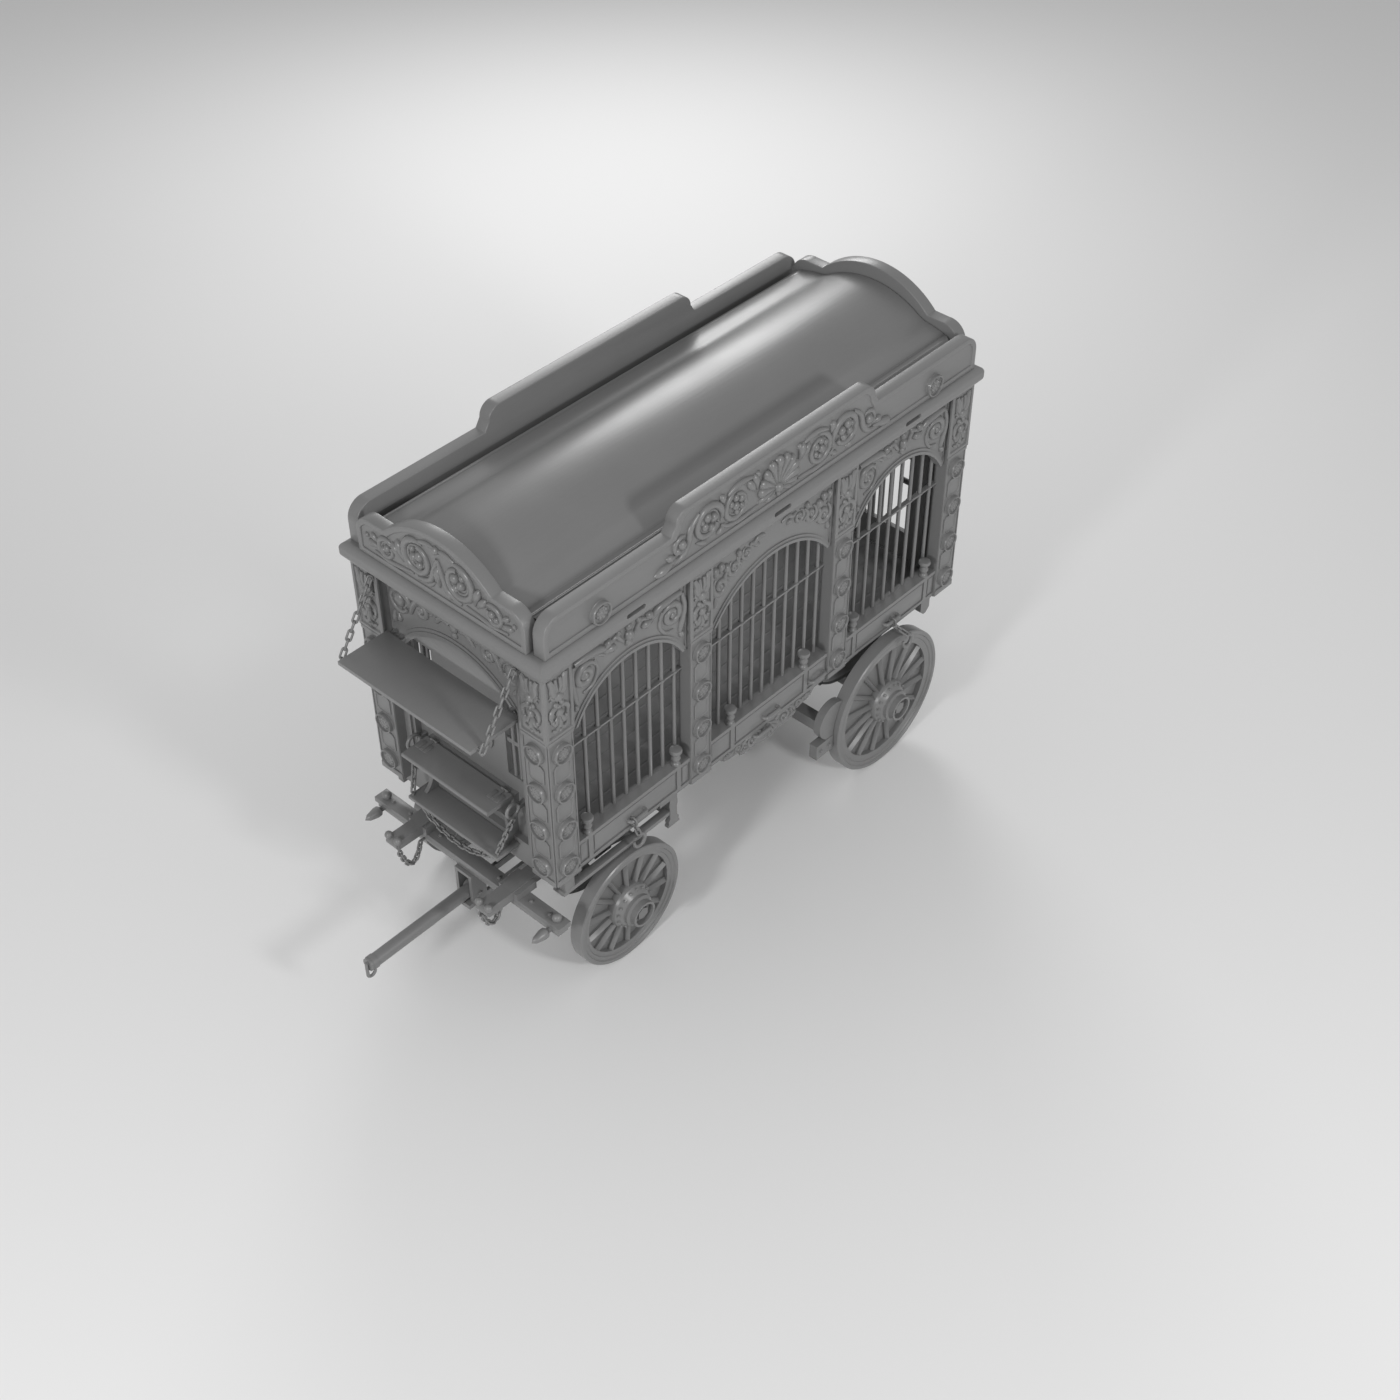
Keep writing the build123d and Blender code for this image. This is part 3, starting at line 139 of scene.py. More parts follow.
class Graph:
    """Node tree of one material."""

    def __init__(self, name: str) -> None:
        """Makes a material with an empty node tree.

        Args:
            name: The material's name.
        """
        self.material = bpy.data.materials.new(name)
        self.material.use_nodes = True
        self.tree = self.material.node_tree
        self.tree.nodes.clear()

    def add(self, kind: str, settings: dict[str, Any], inputs: dict[Any, Any], output: Any = 0) -> Value:
        """Adds any node.

        Args:
            kind: The node's type.
            settings: Properties that are set first.
            inputs: Values or links for its sockets, by name or number.
            output: The output socket to hand back, by name or number.

        Returns:
            The chosen output.
        """
        node = self.tree.nodes.new(kind)
        for key, setting in settings.items():
            setattr(node, key, setting)
        for key, value in inputs.items():
            if isinstance(value, Value):
                value = value.socket
            if isinstance(value, bpy.types.NodeSocket):
                self.tree.links.new(value, node.inputs[key])
            else:
                node.inputs[key].default_value = value
        chosen = node.outputs[output] if node.outputs else None
        return Value(self, chosen)

    def place(self, scale: Sequence[float]) -> Value:
        """Object coordinates stretched by a scale.

        Args:
            scale: Scale along x, y and z.

        Returns:
            The mapped vector.
        """
        spot = self.add("ShaderNodeTexCoord", {}, {}, "Object")
        return self.add("ShaderNodeMapping", {}, {"Vector": spot, "Scale": tuple(scale)})

    def noise(self, scale: Sequence[float], detail: float = 3.0) -> Value:
        """Noise of unit frequency in stretched object coordinates.

        Args:
            scale: Cycles per metre along x, y and z.
            detail: Octaves.

        Returns:
            The noise factor.
        """
        where = self.place(scale)
        return self.add("ShaderNodeTexNoise", {}, {"Vector": where, "Scale": 1.0, "Detail": detail}, 0)

    def mix(self, factor: Value, low: Sequence[float], high: Sequence[float]) -> Value:
        """Colour between two colours.

        Args:
            factor: Share of the second colour.
            low: First colour.
            high: Second colour.

        Returns:
            The mixed colour.
        """
        return self.add(
            "ShaderNodeMix",
            {"data_type": "RGBA"},
            {0: factor, 6: (*low, 1.0), 7: (*high, 1.0)},
            2,
        )


@dataclass(frozen=True)
class Paint:
    """Grey coach paint over timber or iron."""

    name: str
    tone: float
    spread: float
    roughness: float
    grain: Point
    bump: float
    seam: float = 0.0
    cloud: float = 1.7
    speck: float = 60.0
    colour_shares: Point = (0.6, 0.25, 0.15)
    height_shares: Spot = (0.7, 0.3)
    gloss_lift: float = 0.08
    gloss_shares: Spot = (0.12, 0.06)
    bump_depth: float = 0.004
    ior: float = 1.5
    coat: float = 0.12
    coat_roughness: float = 0.25
    seam_edge: float = 14.0
    seam_depth: float = 3.0

    def build(self) -> bpy.types.Material:
        """Makes the material.

        Returns:
            The painted material with brush marks, dust and an uneven gloss.
        """
        graph = Graph(self.name)
        grain = graph.noise(self.grain, 4.0)
        cloud = graph.noise((self.cloud,) * 3, 3.0)
        speck = graph.noise((self.speck,) * 3, 2.0)
        clouds, grains, specks = self.colour_shares
        blend = (cloud * clouds + grain * grains + speck * specks).clamp()
        low = (self.tone - self.spread,) * 3
        high = (self.tone + self.spread,) * 3
        grains, specks = self.height_shares
        height = grain * grains + speck * specks
        if self.seam:
            height = height + self._seams(graph)
        clouds, specks = self.gloss_shares
        rough = (self.roughness - self.gloss_lift) + cloud * clouds + speck * specks
        bump = graph.add(
            "ShaderNodeBump",
            {},
            {"Strength": self.bump, "Distance": self.bump_depth, "Height": height},
            "Normal",
        )
        shader = graph.add(
            "ShaderNodeBsdfPrincipled",
            {},
            {
                "Base Color": graph.mix(blend, low, high),
                "Roughness": rough,
                "Normal": bump,
                "IOR": self.ior,
                "Coat Weight": self.coat,
                "Coat Roughness": self.coat_roughness,
            },
            "BSDF",
        )
        graph.add("ShaderNodeOutputMaterial", {}, {"Surface": shader})
        return graph.material

    def _seams(self, graph: Graph) -> Value:
        """Plank seams across the floor.

        Args:
            graph: The material's graph.

        Returns:
            A height that drops at each seam.
        """
        spot = graph.add("ShaderNodeTexCoord", {}, {}, "Object")
        side = graph.add("ShaderNodeSeparateXYZ", {}, {0: spot}, 1)
        phase = graph.add("ShaderNodeMath", {"operation": "PINGPONG"}, {0: side, 1: self.seam / 2})
        return (phase * (self.seam_edge / self.seam)).clamp() * self.seam_depth


TIMBER_PAINT = Paint("timber_paint", 0.190, 0.020, 0.36, (6.0, 46.0, 46.0), 0.16)
IRON_PAINT = Paint("iron_paint", 0.185, 0.018, 0.32, (30.0, 30.0, 30.0), 0.12)
CARVED_PAINT = Paint("carved_paint", 0.192, 0.018, 0.30, (24.0, 24.0, 24.0), 0.10)
FLOOR_PAINT = Paint("floor_paint", 0.180, 0.024, 0.55, (5.0, 40.0, 40.0), 0.30, seam=0.14)


@dataclass(frozen=True)
class Layout:
    """Main places of the wagon in metres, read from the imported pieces."""

    mid_x: float
    half_length: float
    half_width: float
    base_z: float
    eaves_z: float

    @classmethod
    def read(cls) -> "Layout":
        """Reads the posts' box.

        Returns:
            The layout of the box body.
        """
        low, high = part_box("posts_left")
        return cls((low[0] + high[0]) / 2, (high[0] - low[0]) / 2, high[1], low[2], high[2])

    def at(self, x: float, y: float, z: float) -> Vector:
        """Point from the body's centre line and the post feet.

        Args:
            x: Distance ahead of the body's middle.
            y: Distance to the left.
            z: Height above the post feet.

        Returns:
            The point in the row frame.
        """
        return Vector((self.mid_x + x, y, self.base_z + z))

    def ground(self, x: float, y: float, z: float) -> Vector:
        """Point from the body's centre line and the ground.

        Args:
            x: Distance ahead of the body's middle.
            y: Distance to the left.
            z: Height above the ground.

        Returns:
            The point in the row frame.
        """
        return Vector((self.mid_x + x, y, z))

    def beside(self, place: Point, side: int) -> Vector:
        """Point from the ground on the left side, or its mirror image for side -1."""
        return self.ground(place[0], side * place[1], place[2])


class Bench:
    """Modelling operators used as by hand."""

    @staticmethod
    def clear() -> None:
        """Leaves edit mode and deselects everything."""
        if bpy.context.mode != "OBJECT":
            bpy.ops.object.mode_set(mode="OBJECT")
        bpy.ops.object.select_all(action="DESELECT")

    @staticmethod
    def pick(piece: bpy.types.Object) -> None:
        """Selects one piece alone and makes it active.

        Args:
            piece: The piece.
        """
        Bench.clear()
        piece.select_set(True)
        bpy.context.view_layer.objects.active = piece

    @staticmethod
    def apply(piece: bpy.types.Object) -> bpy.types.Object:
        """Applies a piece's place to its mesh.

        Args:
            piece: The piece.

        Returns:
            The same piece, at the origin.
        """
        Bench.pick(piece)
        bpy.ops.object.transform_apply(location=True, rotation=True, scale=True)
        return piece

    @staticmethod
    def join(pieces: Sequence[bpy.types.Object], name: str) -> bpy.types.Object:
        """Joins pieces into one mesh.

        Args:
            pieces: The pieces, at least one.
            name: The joined piece's name.

        Returns:
            The joined piece.
        """
        Bench.clear()
        for piece in pieces:
            piece.select_set(True)
        bpy.context.view_layer.objects.active = pieces[0]
        if len(pieces) > 1:
            bpy.ops.object.join()
        pieces[0].name = name
        pieces[0].data.name = name
        return pieces[0]

    @staticmethod
    def smooth(piece: bpy.types.Object, angle: float = 40.0) -> None:
        """Shades a piece smooth up to an angle in degrees."""
        Bench.pick(piece)
        bpy.ops.object.shade_smooth_by_angle(angle=math.radians(angle))

    @staticmethod
    def copy(piece: bpy.types.Object, place: Matrix) -> bpy.types.Object:
        """Copy of a piece with its own mesh, moved by a matrix.

        Args:
            piece: The piece to copy.
            place: The move, applied to the mesh.

        Returns:
            The copy.
        """
        twin = piece.copy()
        twin.data = piece.data.copy()
        bpy.context.scene.collection.objects.link(twin)
        twin.data.transform(place)
        return twin

    @staticmethod
    def choose(piece: bpy.types.Object, kind: str, test: Callable[[Any], bool]) -> None:
        """Opens a piece in edit mode with some of its elements selected.

        Args:
            piece: The piece.
            kind: VERT, EDGE or FACE.
            test: Tells whether a vertex, an edge or a polygon is selected.
        """
        Bench.pick(piece)
        bpy.ops.object.mode_set(mode="EDIT")
        bpy.ops.mesh.select_mode(type=kind)
        bpy.ops.mesh.select_all(action="DESELECT")
        bpy.ops.object.mode_set(mode="OBJECT")
        mesh = piece.data
        for element in {"VERT": mesh.vertices, "EDGE": mesh.edges, "FACE": mesh.polygons}[kind]:
            element.select = test(element)
        bpy.ops.object.mode_set(mode="EDIT")

    @staticmethod
    def pull(piece: bpy.types.Object, way: int, amount: float) -> None:
        """Draws one half of a piece away from the other along x.

        Args:
            piece: The piece.
            way: 1 for the half ahead of x = 0, -1 for the half behind it.
            amount: How far that half moves.
        """
        Bench.choose(piece, "VERT", lambda vertex: vertex.co.x * way > 0)
        bpy.ops.transform.translate(value=(way * amount, 0, 0))
        bpy.ops.object.mode_set(mode="OBJECT")

    @staticmethod
    def modify(piece: bpy.types.Object, kind: str, **settings: Any) -> None:
        """Adds and applies one modifier.

        Args:
            piece: The piece.
            kind: The modifier's type.
            **settings: Its properties.
        """
        Bench.pick(piece)
        modifier = piece.modifiers.new(kind.lower(), kind)
        for key, setting in settings.items():
            setattr(modifier, key, setting)
        bpy.ops.object.modifier_apply(modifier=modifier.name)

    @staticmethod
    def block(middle: Point, size: Point) -> bpy.types.Object:
        """Plain block that a piece is worked from.

        Args:
            middle: Its middle.
            size: Its size along x, y and z.

        Returns:
            The block, with its place applied.
        """
        Bench.clear()
        bpy.ops.mesh.primitive_cube_add(size=1, location=middle, scale=size)
        return Bench.apply(bpy.context.object)

    @staticmethod
    def panel(piece: bpy.types.Object, steps: Iterable[Spot]) -> bpy.types.Object:
        """Works the face of a block into a framed panel.

        Args:
            piece: The block, with its face towards +Z.
            steps: Width and depth of each step from the edge inwards.

        Returns:
            The same piece.
        """
        Bench.choose(piece, "FACE", lambda polygon: polygon.normal.z > FACING)
        for width, depth in steps:
            bpy.ops.mesh.inset(thickness=width, depth=depth)
        bpy.ops.object.mode_set(mode="OBJECT")
        return piece

    @staticmethod
    def boxes(
        rows: Iterable[tuple[Sequence[float], Sequence[float]]], edge: float, name: str
    ) -> bpy.types.Object:
        """Bevelled boxes in one mesh.

        Args:
            rows: Opposite corners of each box.
            edge: Bevel width.
            name: The piece's name.

        Returns:
            The piece.
        """
        Bench.clear()
        bpy.ops.mesh.primitive_cube_add(size=1)
        piece = bpy.context.object
        bpy.ops.object.mode_set(mode="EDIT")
        bpy.ops.mesh.select_all(action="SELECT")
        bpy.ops.mesh.delete(type="VERT")
        for low, high in rows:
            middle = (Vector(low) + Vector(high)) / 2
            size = Vector(high) - Vector(low)
            bpy.ops.mesh.primitive_cube_add(
                size=1, location=middle, scale=tuple(abs(part) for part in size)
            )
        bpy.ops.object.mode_set(mode="OBJECT")
        Bench.modify(piece, "BEVEL", width=edge, segments=2, limit_method="ANGLE")
        piece.name = name
        Bench.smooth(piece)
        return piece

    @staticmethod
    def turned(profile: Sequence[Spot], sides: int, name: str) -> bpy.types.Object:
        """Boss turned about local Z from a circle that is extruded ring by ring.

        Args:
            profile: Radius and height of each ring, from the foot up.
            sides: Number of sides.
            name: The piece's name.

        Returns:
            The boss, at the origin.
        """
        Bench.clear()
        radius, height = profile[0]
        bpy.ops.mesh.primitive_circle_add(
            vertices=sides, radius=radius, fill_type="NGON", location=(0, 0, height)
        )
        piece = bpy.context.object
        bpy.ops.object.transform_apply(location=True, rotation=False, scale=False)
        bpy.ops.object.mode_set(mode="EDIT")
        bpy.ops.mesh.select_all(action="SELECT")
        for ring, level in profile[1:]:
            bpy.ops.mesh.extrude_region_move(TRANSFORM_OT_translate={"value": (0, 0, level - height)})
            share = ring / radius
            bpy.ops.transform.resize(value=(share, share, 1), center_override=(0, 0, 0))
            radius, height = ring, level
        bpy.ops.mesh.select_all(action="SELECT")
        bpy.ops.mesh.normals_make_consistent(inside=False)
        bpy.ops.object.mode_set(mode="OBJECT")
        piece.name = name
        return piece

    @staticmethod
    def tubes(
        strokes: Iterable[Sequence[tuple[Sequence[float], float]]], name: str, sides: int = 2
    ) -> bpy.types.Object:
        """Round strokes of changing thickness in one mesh.

        Args:
            strokes: Runs of points, each with its radius.
            name: The piece's name.
            sides: Bevel resolution of the round section.

        Returns:
            The piece, as a mesh.
        """
        Bench.clear()
        curve = bpy.data.curves.new(name, "CURVE")
        curve.dimensions = "3D"
        curve.bevel_depth = 1.0
        curve.bevel_resolution = sides
        curve.use_fill_caps = True
        for stroke in strokes:
            spline = curve.splines.new("POLY")
            spline.points.add(len(stroke) - 1)
            for knot, (spot, radius) in zip(spline.points, stroke):
                knot.co = (*spot, 1.0)
                knot.radius = radius
        piece = bpy.data.objects.new(name, curve)
        bpy.context.scene.collection.objects.link(piece)
        Bench.pick(piece)
        bpy.ops.object.convert(target="MESH")
        piece = bpy.context.object
        Bench.smooth(piece, ROUND_ANGLE)
        return piece


@dataclass
class Carving:
    """Relief ornament drawn as tapering strokes in panel coordinates.

    Each stroke is lifted to the foot and thickened by the swell as it is added.
    """

    foot: float = 0.0
    swell: float = 1.0
    strokes: list[Stroke] = field(default_factory=list)

    span_points: ClassVar[int] = 7
    turn_points: ClassVar[int] = 22
    bead_steps: ClassVar[int] = 8
    stem_arc: ClassVar[Spot] = (0.12, 0.76)
    volute_close: ClassVar[float] = 0.86
    volute_eye: ClassVar[float] = 0.26
    hoop_close: ClassVar[float] = 0.35
    line_inset: ClassVar[float] = 1.5
    line_turns: ClassVar[float] = 0.85
    line_width: ClassVar[float] = 0.42
    bead_tip: ClassVar[float] = 0.08
    rib_width: ClassVar[float] = 0.13
    rib_tail: ClassVar[float] = 0.25
    leaf_splay: ClassVar[float] = 40.0
    leaf_reach: ClassVar[Spot] = (0.46, 0.20)
    leaf_lobe: ClassVar[float] = 0.30
    fan_width: ClassVar[float] = 0.50
    fan_reach: ClassVar[Spot] = (0.84, 0.16)
    fan_boss: ClassVar[float] = 0.15
    lobe_form: ClassVar[tuple[Spot, ...]] = (
        (0.0, 0.25), (0.2, 0.5), (0.45, 0.85), (0.65, 1.0), (0.82, 0.86), (0.94, 0.5), (1.0, 0.12),
    )
    rib_form: ClassVar[tuple[Spot, ...]] = (
        (0.10, 0.22), (0.35, 0.40), (0.6, 0.64), (0.82, 0.86), (0.93, 0.80), (1.0, 0.30),
    )

    def add(self, stroke: Stroke) -> None:
        """Keeps one stroke, lifted to the foot and thickened."""
        self.strokes.append([(u, v + self.foot, r * self.swell) for u, v, r in stroke])

    def run(self, knots: Sequence[Spot], width: float, tail: float = 0.3) -> None:
        """Smooth tapering stem through knots.

        Args:
            knots: Points of the stem in panel coordinates.
            width: Radius at its fullest.
            tail: Share of the width left at its ends.
        """
        spots = smooth_run(knots, self.span_points)
        count = len(spots) - 1
        first, span = self.stem_arc
        stroke: Stroke = []
        for i, (u, v) in enumerate(spots):
            swell = math.sin(math.pi * (first + span * i / count))
            stroke.append((u, v, width * (tail + (1 - tail) * swell)))
        self.add(stroke)

    def lobe(self, foot: Spot, tip: Spot, width: float) -> None:
        """Fat petal that swells towards its tip.

        Args:
            foot: Where it starts.
            tip: Where it ends.
            width: Radius at its fullest.
        """
        stroke: Stroke = []
        for t, share in self.lobe_form:
            u = foot[0] + (tip[0] - foot[0]) * t
            v = foot[1] + (tip[1] - foot[1]) * t
            stroke.append((u, v, width * share))
        self.add(stroke)

    def volute(self, centre: Spot, radius: float, start: float, turns: float, width: float) -> None:
        """Grooved spiral band that winds in to a round eye.

        Args:
            centre: The eye's place.
            radius: Outer radius.
            start: Angle in degrees where the spiral begins.
            turns: Turns to the eye, negative to wind clockwise.
            width: Radius of the stroke at the outside.
        """
        self.spiral(centre, radius, start, turns, width, self.volute_close)
        self.berry(centre, self.volute_eye * radius)

    def hoop(self, centre: Spot, radius: float, start: float, turns: float, width: float) -> None:
        """Open scroll: a broad band with a fine line inside it.

        Args:
            centre: Middle of the scroll.
            radius: Outer radius.
            start: Angle in degrees where it begins.
            turns: Turns, negative to wind clockwise.
            width: Radius of the broad band.
        """
        self.spiral(centre, radius, start, turns, width, self.hoop_close)
        inner = radius - self.line_inset * width
        line = self.line_width * width
        self.spiral(centre, inner, start, self.line_turns * turns, line, self.hoop_close)

    def spiral(
        self, centre: Spot, radius: float, start: float, turns: float, width: float, close: float
    ) -> None:
        """One spiral stroke.

        Args:
            centre: Its middle.
            radius: Outer radius.
            start: Angle in degrees where it begins.
            turns: Turns, negative to wind clockwise.
            width: Radius of the stroke at the outside.
            close: Share of the radius that it closes in by.
        """
        count = max(10, int(abs(turns) * self.turn_points))
        stroke: Stroke = []
        for i in range(count + 1):
            t = i / count
            angle = math.radians(start + 360 * turns * t)
            reach = radius * (1 - close * t**0.85)
            u = centre[0] + reach * math.cos(angle)
            v = centre[1] + reach * math.sin(angle)
            rise = min(1.0, 0.35 + 5 * t)
            stroke.append((u, v, width * rise * (0.55 + 0.45 * math.cos(1.25 * t))))
        self.add(stroke)

    def berry(self, centre: Spot, radius: float) -> None:
        """Round bead.

        Args:
            centre: Its place.
            radius: Its radius.
        """
        stroke: Stroke = []
        for i in range(self.bead_steps + 1):
            angle = math.pi * (i / self.bead_steps)
            reach = max(self.bead_tip, math.sin(angle)) * radius
            stroke.append((centre[0] - radius * math.cos(angle), centre[1], reach))
        self.add(stroke)

    def berries(self, rows: Iterable[Point]) -> None:
        """Round beads, each by its place and radius."""
        for u, v, radius in rows:
            self.berry((u, v), radius)

    def leaf(self, base: Spot, heading: float, length: float, curl: float, lobes: int = 3) -> None:
        """Full leaf with a curling rib and paired lobes.

        Args:
            base: Foot of the rib.
            heading: Direction in degrees.
            length: Length along the rib.
            curl: Turn of the rib from foot to tip in degrees.
            lobes: Lobes on each side.
        """
        u, v = base
        step = length / (lobes + 1)
        rib = [(u, v)]
        for i in range(lobes + 1):
            angle = math.radians(heading + curl * (i + 0.5) / (lobes + 1))
            u += step * math.cos(angle)
            v += step * math.sin(angle)
            rib.append((u, v))
        self.run(rib, self.rib_width * length, self.rib_tail)
        first, loss = self.leaf_reach
        for i in range(1, lobes + 1):
            course = heading + curl * i / (lobes + 1)
            reach = length * (first - loss * i / lobes)
            for side in (-1, 1):
                out = math.radians(course + side * self.leaf_splay)
                tip = (rib[i][0] + reach * math.cos(out), rib[i][1] + reach * math.sin(out))
                self.lobe(rib[i], tip, self.leaf_lobe * reach)

    def fan(self, centre: Spot, radius: float, ribs: int, spread: float, heading: float = 90.0) -> None:
        """Shell of tapering ribs round a boss.

        Args:
            centre: Where the ribs meet.
            radius: Their length.
            ribs: How many.
            spread: Angle from first to last in degrees.
            heading: Direction of the middle rib in degrees.
        """
        width = self.fan_width * radius * math.radians(spread) / (ribs - 1)
        short, gain = self.fan_reach
        for i in range(ribs):
            angle = math.radians(heading - spread / 2 + spread * i / (ribs - 1))
            reach = radius * (short + gain * math.sin(math.pi * i / (ribs - 1)))
            stroke: Stroke = []
            for t, swell in self.rib_form:
                u = centre[0] + reach * t * math.cos(angle)
                v = centre[1] + reach * t * math.sin(angle)
                stroke.append((u, v, width * swell))
            self.add(stroke)
        self.berry(centre, self.fan_boss * radius)

    def mirrored(self) -> None:
        """Repeats every stroke on the other side of u = 0."""
        self.strokes.extend([[(-u, v, r) for u, v, r in stroke] for stroke in list(self.strokes)])

    def build(self, place: Matrix, relief: float, name: str, ceiling: float = 0.0) -> bpy.types.Object:
        """Makes the relief on a panel.

        Args:
            place: The panel's matrix.
            relief: Height of a stroke as a share of its radius.
            name: The piece's name.
            ceiling: Height that the relief levels off at, or 0 for none.

        Returns:
            The carved piece.
        """
        rows = [[((u, v, 0.0), r) for u, v, r in stroke] for stroke in self.strokes]
        piece = Bench.tubes(rows, name)
        Bench.pick(piece)
        bpy.ops.transform.resize(value=(1, 1, relief), center_override=(0, 0, 0))
        Bench.apply(piece)
        if ceiling:
            for vertex in piece.data.vertices:
                vertex.co.z = ceiling * math.tanh(vertex.co.z / ceiling)
        piece.data.transform(place)
        return piece


def smooth_run(knots: Sequence[Spot], share: int) -> list[Spot]:
    """Points on a smooth curve through knots.

    Args:
        knots: The knots.
        share: Points for each span.

    Returns:
        The points, ends included.
    """
    ends = [knots[0], *knots, knots[-1]]
    spots: list[Spot] = []
    for a, b, c, d in zip(ends, ends[1:], ends[2:], ends[3:]):
        for k in range(share):
            t = k / share
            spot = []
            for p, q, r, s in zip(a, b, c, d):
                square = (2 * p - 5 * q + 4 * r - s) * t**2
                cube = (3 * q - p - 3 * r + s) * t**3
                spot.append((2 * q + (r - p) * t + square + cube) / 2)
            spots.append((spot[0], spot[1]))
    spots.append(tuple(knots[-1]))
    return spots


def inward(half: float, *knots: Spot) -> list[Spot]:
    """Knots that are measured from a bay's edge towards its middle.

    Args:
        half: Half of the bay's width.
        *knots: Distance from the edge, and height.

    Returns:
        The knots about the bay's middle.
    """
    return [(half - u, v) for u, v in knots]


class Dresser:
    """Hands each new piece its body and material."""

    def __init__(self) -> None:
        """Makes the finishes."""
        self.timber = TIMBER_PAINT.build()
        self.iron = IRON_PAINT.build()
        self.carved = CARVED_PAINT.build()
        self.boards = FLOOR_PAINT.build()

    def dress(self, piece: bpy.types.Object, body: str, material: bpy.types.Material) -> None:
        """Finishes one new piece.

        Args:
            piece: The piece.
            body: The body that it rides on.
            material: Its finish.
        """
        piece.data.materials.clear()
        piece.data.materials.append(material)
        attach(piece, body)
        LOG.info("%s rides on %s", piece.name, body)

    def paint_nodes(self) -> None:
        """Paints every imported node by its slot."""
        for row in frame["record"]["subparts"]:
            node = frame["nodes"][row["node"]]
            material = self.timber if row["material_slot"] == Slot.TIMBER.value else self.iron
            if row["node"] == "floor":
                material = self.boards
            node.data.materials.clear()
            node.data.materials.append(material)


@dataclass
class SoftenedTimber:
    """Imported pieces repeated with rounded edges, and bars with their coats of paint."""

    widths: tuple[tuple[str, float, str], ...] = (
        ("parapet_left", 0.020, WAGON),
        ("parapet_right", 0.020, WAGON),
        ("crest_front", 0.020, WAGON),
        ("crest_rear", 0.020, WAGON),
        ("hood", 0.009, "hood"),
        ("footboard", 0.008, WAGON),
        ("splinter_bar", 0.008, FORECARRIAGE),
    )
    edge_angle: float = 35.0
    roof_round: float = 0.045
    roof_foot: float = 0.02
    end_reach: float = 0.002
    bars: tuple[str, ...] = ("cage_bars_left", "cage_bars_right")
    bar_angle: float = 50.0
    bar_paint: float = 0.0025
    doubles: float = 0.00005
    flat_angle: float = 1.0

    def repeat(self, node: str) -> bpy.types.Object:
        """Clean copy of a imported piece.

        Args:
            node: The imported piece's name.

        Returns:
            The copy, with its doubles merged and its flat faces whole.
        """
        piece = Bench.copy(frame["nodes"][node], Matrix.Identity(4))
        piece.parent = None
        for key in list(piece.keys()):
            del piece[key]
        piece.name = f"{node}_rounded"
        Bench.pick(piece)
        bpy.ops.object.mode_set(mode="EDIT")
        bpy.ops.mesh.select_all(action="SELECT")
        bpy.ops.mesh.remove_doubles(threshold=self.doubles)
        bpy.ops.mesh.dissolve_limited(angle_limit=math.radians(self.flat_angle))
        bpy.ops.object.mode_set(mode="OBJECT")
        return piece

    def roof(self) -> bpy.types.Object:
        """Roof whose end edges roll over.

        Returns:
            The roof with its outer end outlines rounded.
        """
        piece = self.repeat("roof")
        low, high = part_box("roof")
        mesh = piece.data

        def at_end(edge: bpy.types.MeshEdge) -> bool:
            """Tells an edge of an end outline, above the eaves.

            Args:
                edge: An edge of the roof.

            Returns:
                Whether it is rounded.
            """
            spots = [mesh.vertices[i].co for i in edge.vertices]
            outer = all(min(spot.x - low[0], high[0] - spot.x) < self.end_reach for spot in spots)
            return outer and all(spot.z > low[2] + self.roof_foot for spot in spots)

        Bench.choose(piece, "EDGE", at_end)
        bpy.ops.mesh.bevel(offset=self.roof_round, segments=4, profile=0.5, clamp_overlap=True)
        bpy.ops.object.mode_set(mode="OBJECT")
        return piece

    def fattened(self, node: str) -> bpy.types.Object:
        """Bars thickened by their coats of paint.

        Args:
            node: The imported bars.

        Returns:
            The bars.
        """
        piece = self.repeat(node)
        Bench.pick(piece)
        bpy.ops.object.mode_set(mode="EDIT")
        bpy.ops.mesh.select_all(action="SELECT")
        bpy.ops.transform.shrink_fatten(value=self.bar_paint)
        bpy.ops.object.mode_set(mode="OBJECT")
        return piece

    def build(self, dresser: Dresser) -> None:
        """Makes each rounded piece in its node's place.

        Args:
            dresser: Finishes the pieces.
        """
        sharp = math.radians(self.edge_angle)
        for node, width, body in self.widths:
            piece = self.repeat(node)
            Bench.modify(piece, "BEVEL", width=width, segments=3, limit_method="ANGLE", angle_limit=sharp)
            Bench.smooth(piece, self.edge_angle)
            dresser.dress(piece, body, dresser.timber)
            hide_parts(node)
        roof = self.roof()
        Bench.smooth(roof, self.edge_angle)
        dresser.dress(roof, WAGON, dresser.timber)
        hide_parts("roof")
        for node in self.bars:
            piece = self.fattened(node)
            Bench.smooth(piece, self.bar_angle)
            dresser.dress(piece, WAGON, dresser.iron)
            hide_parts(node)


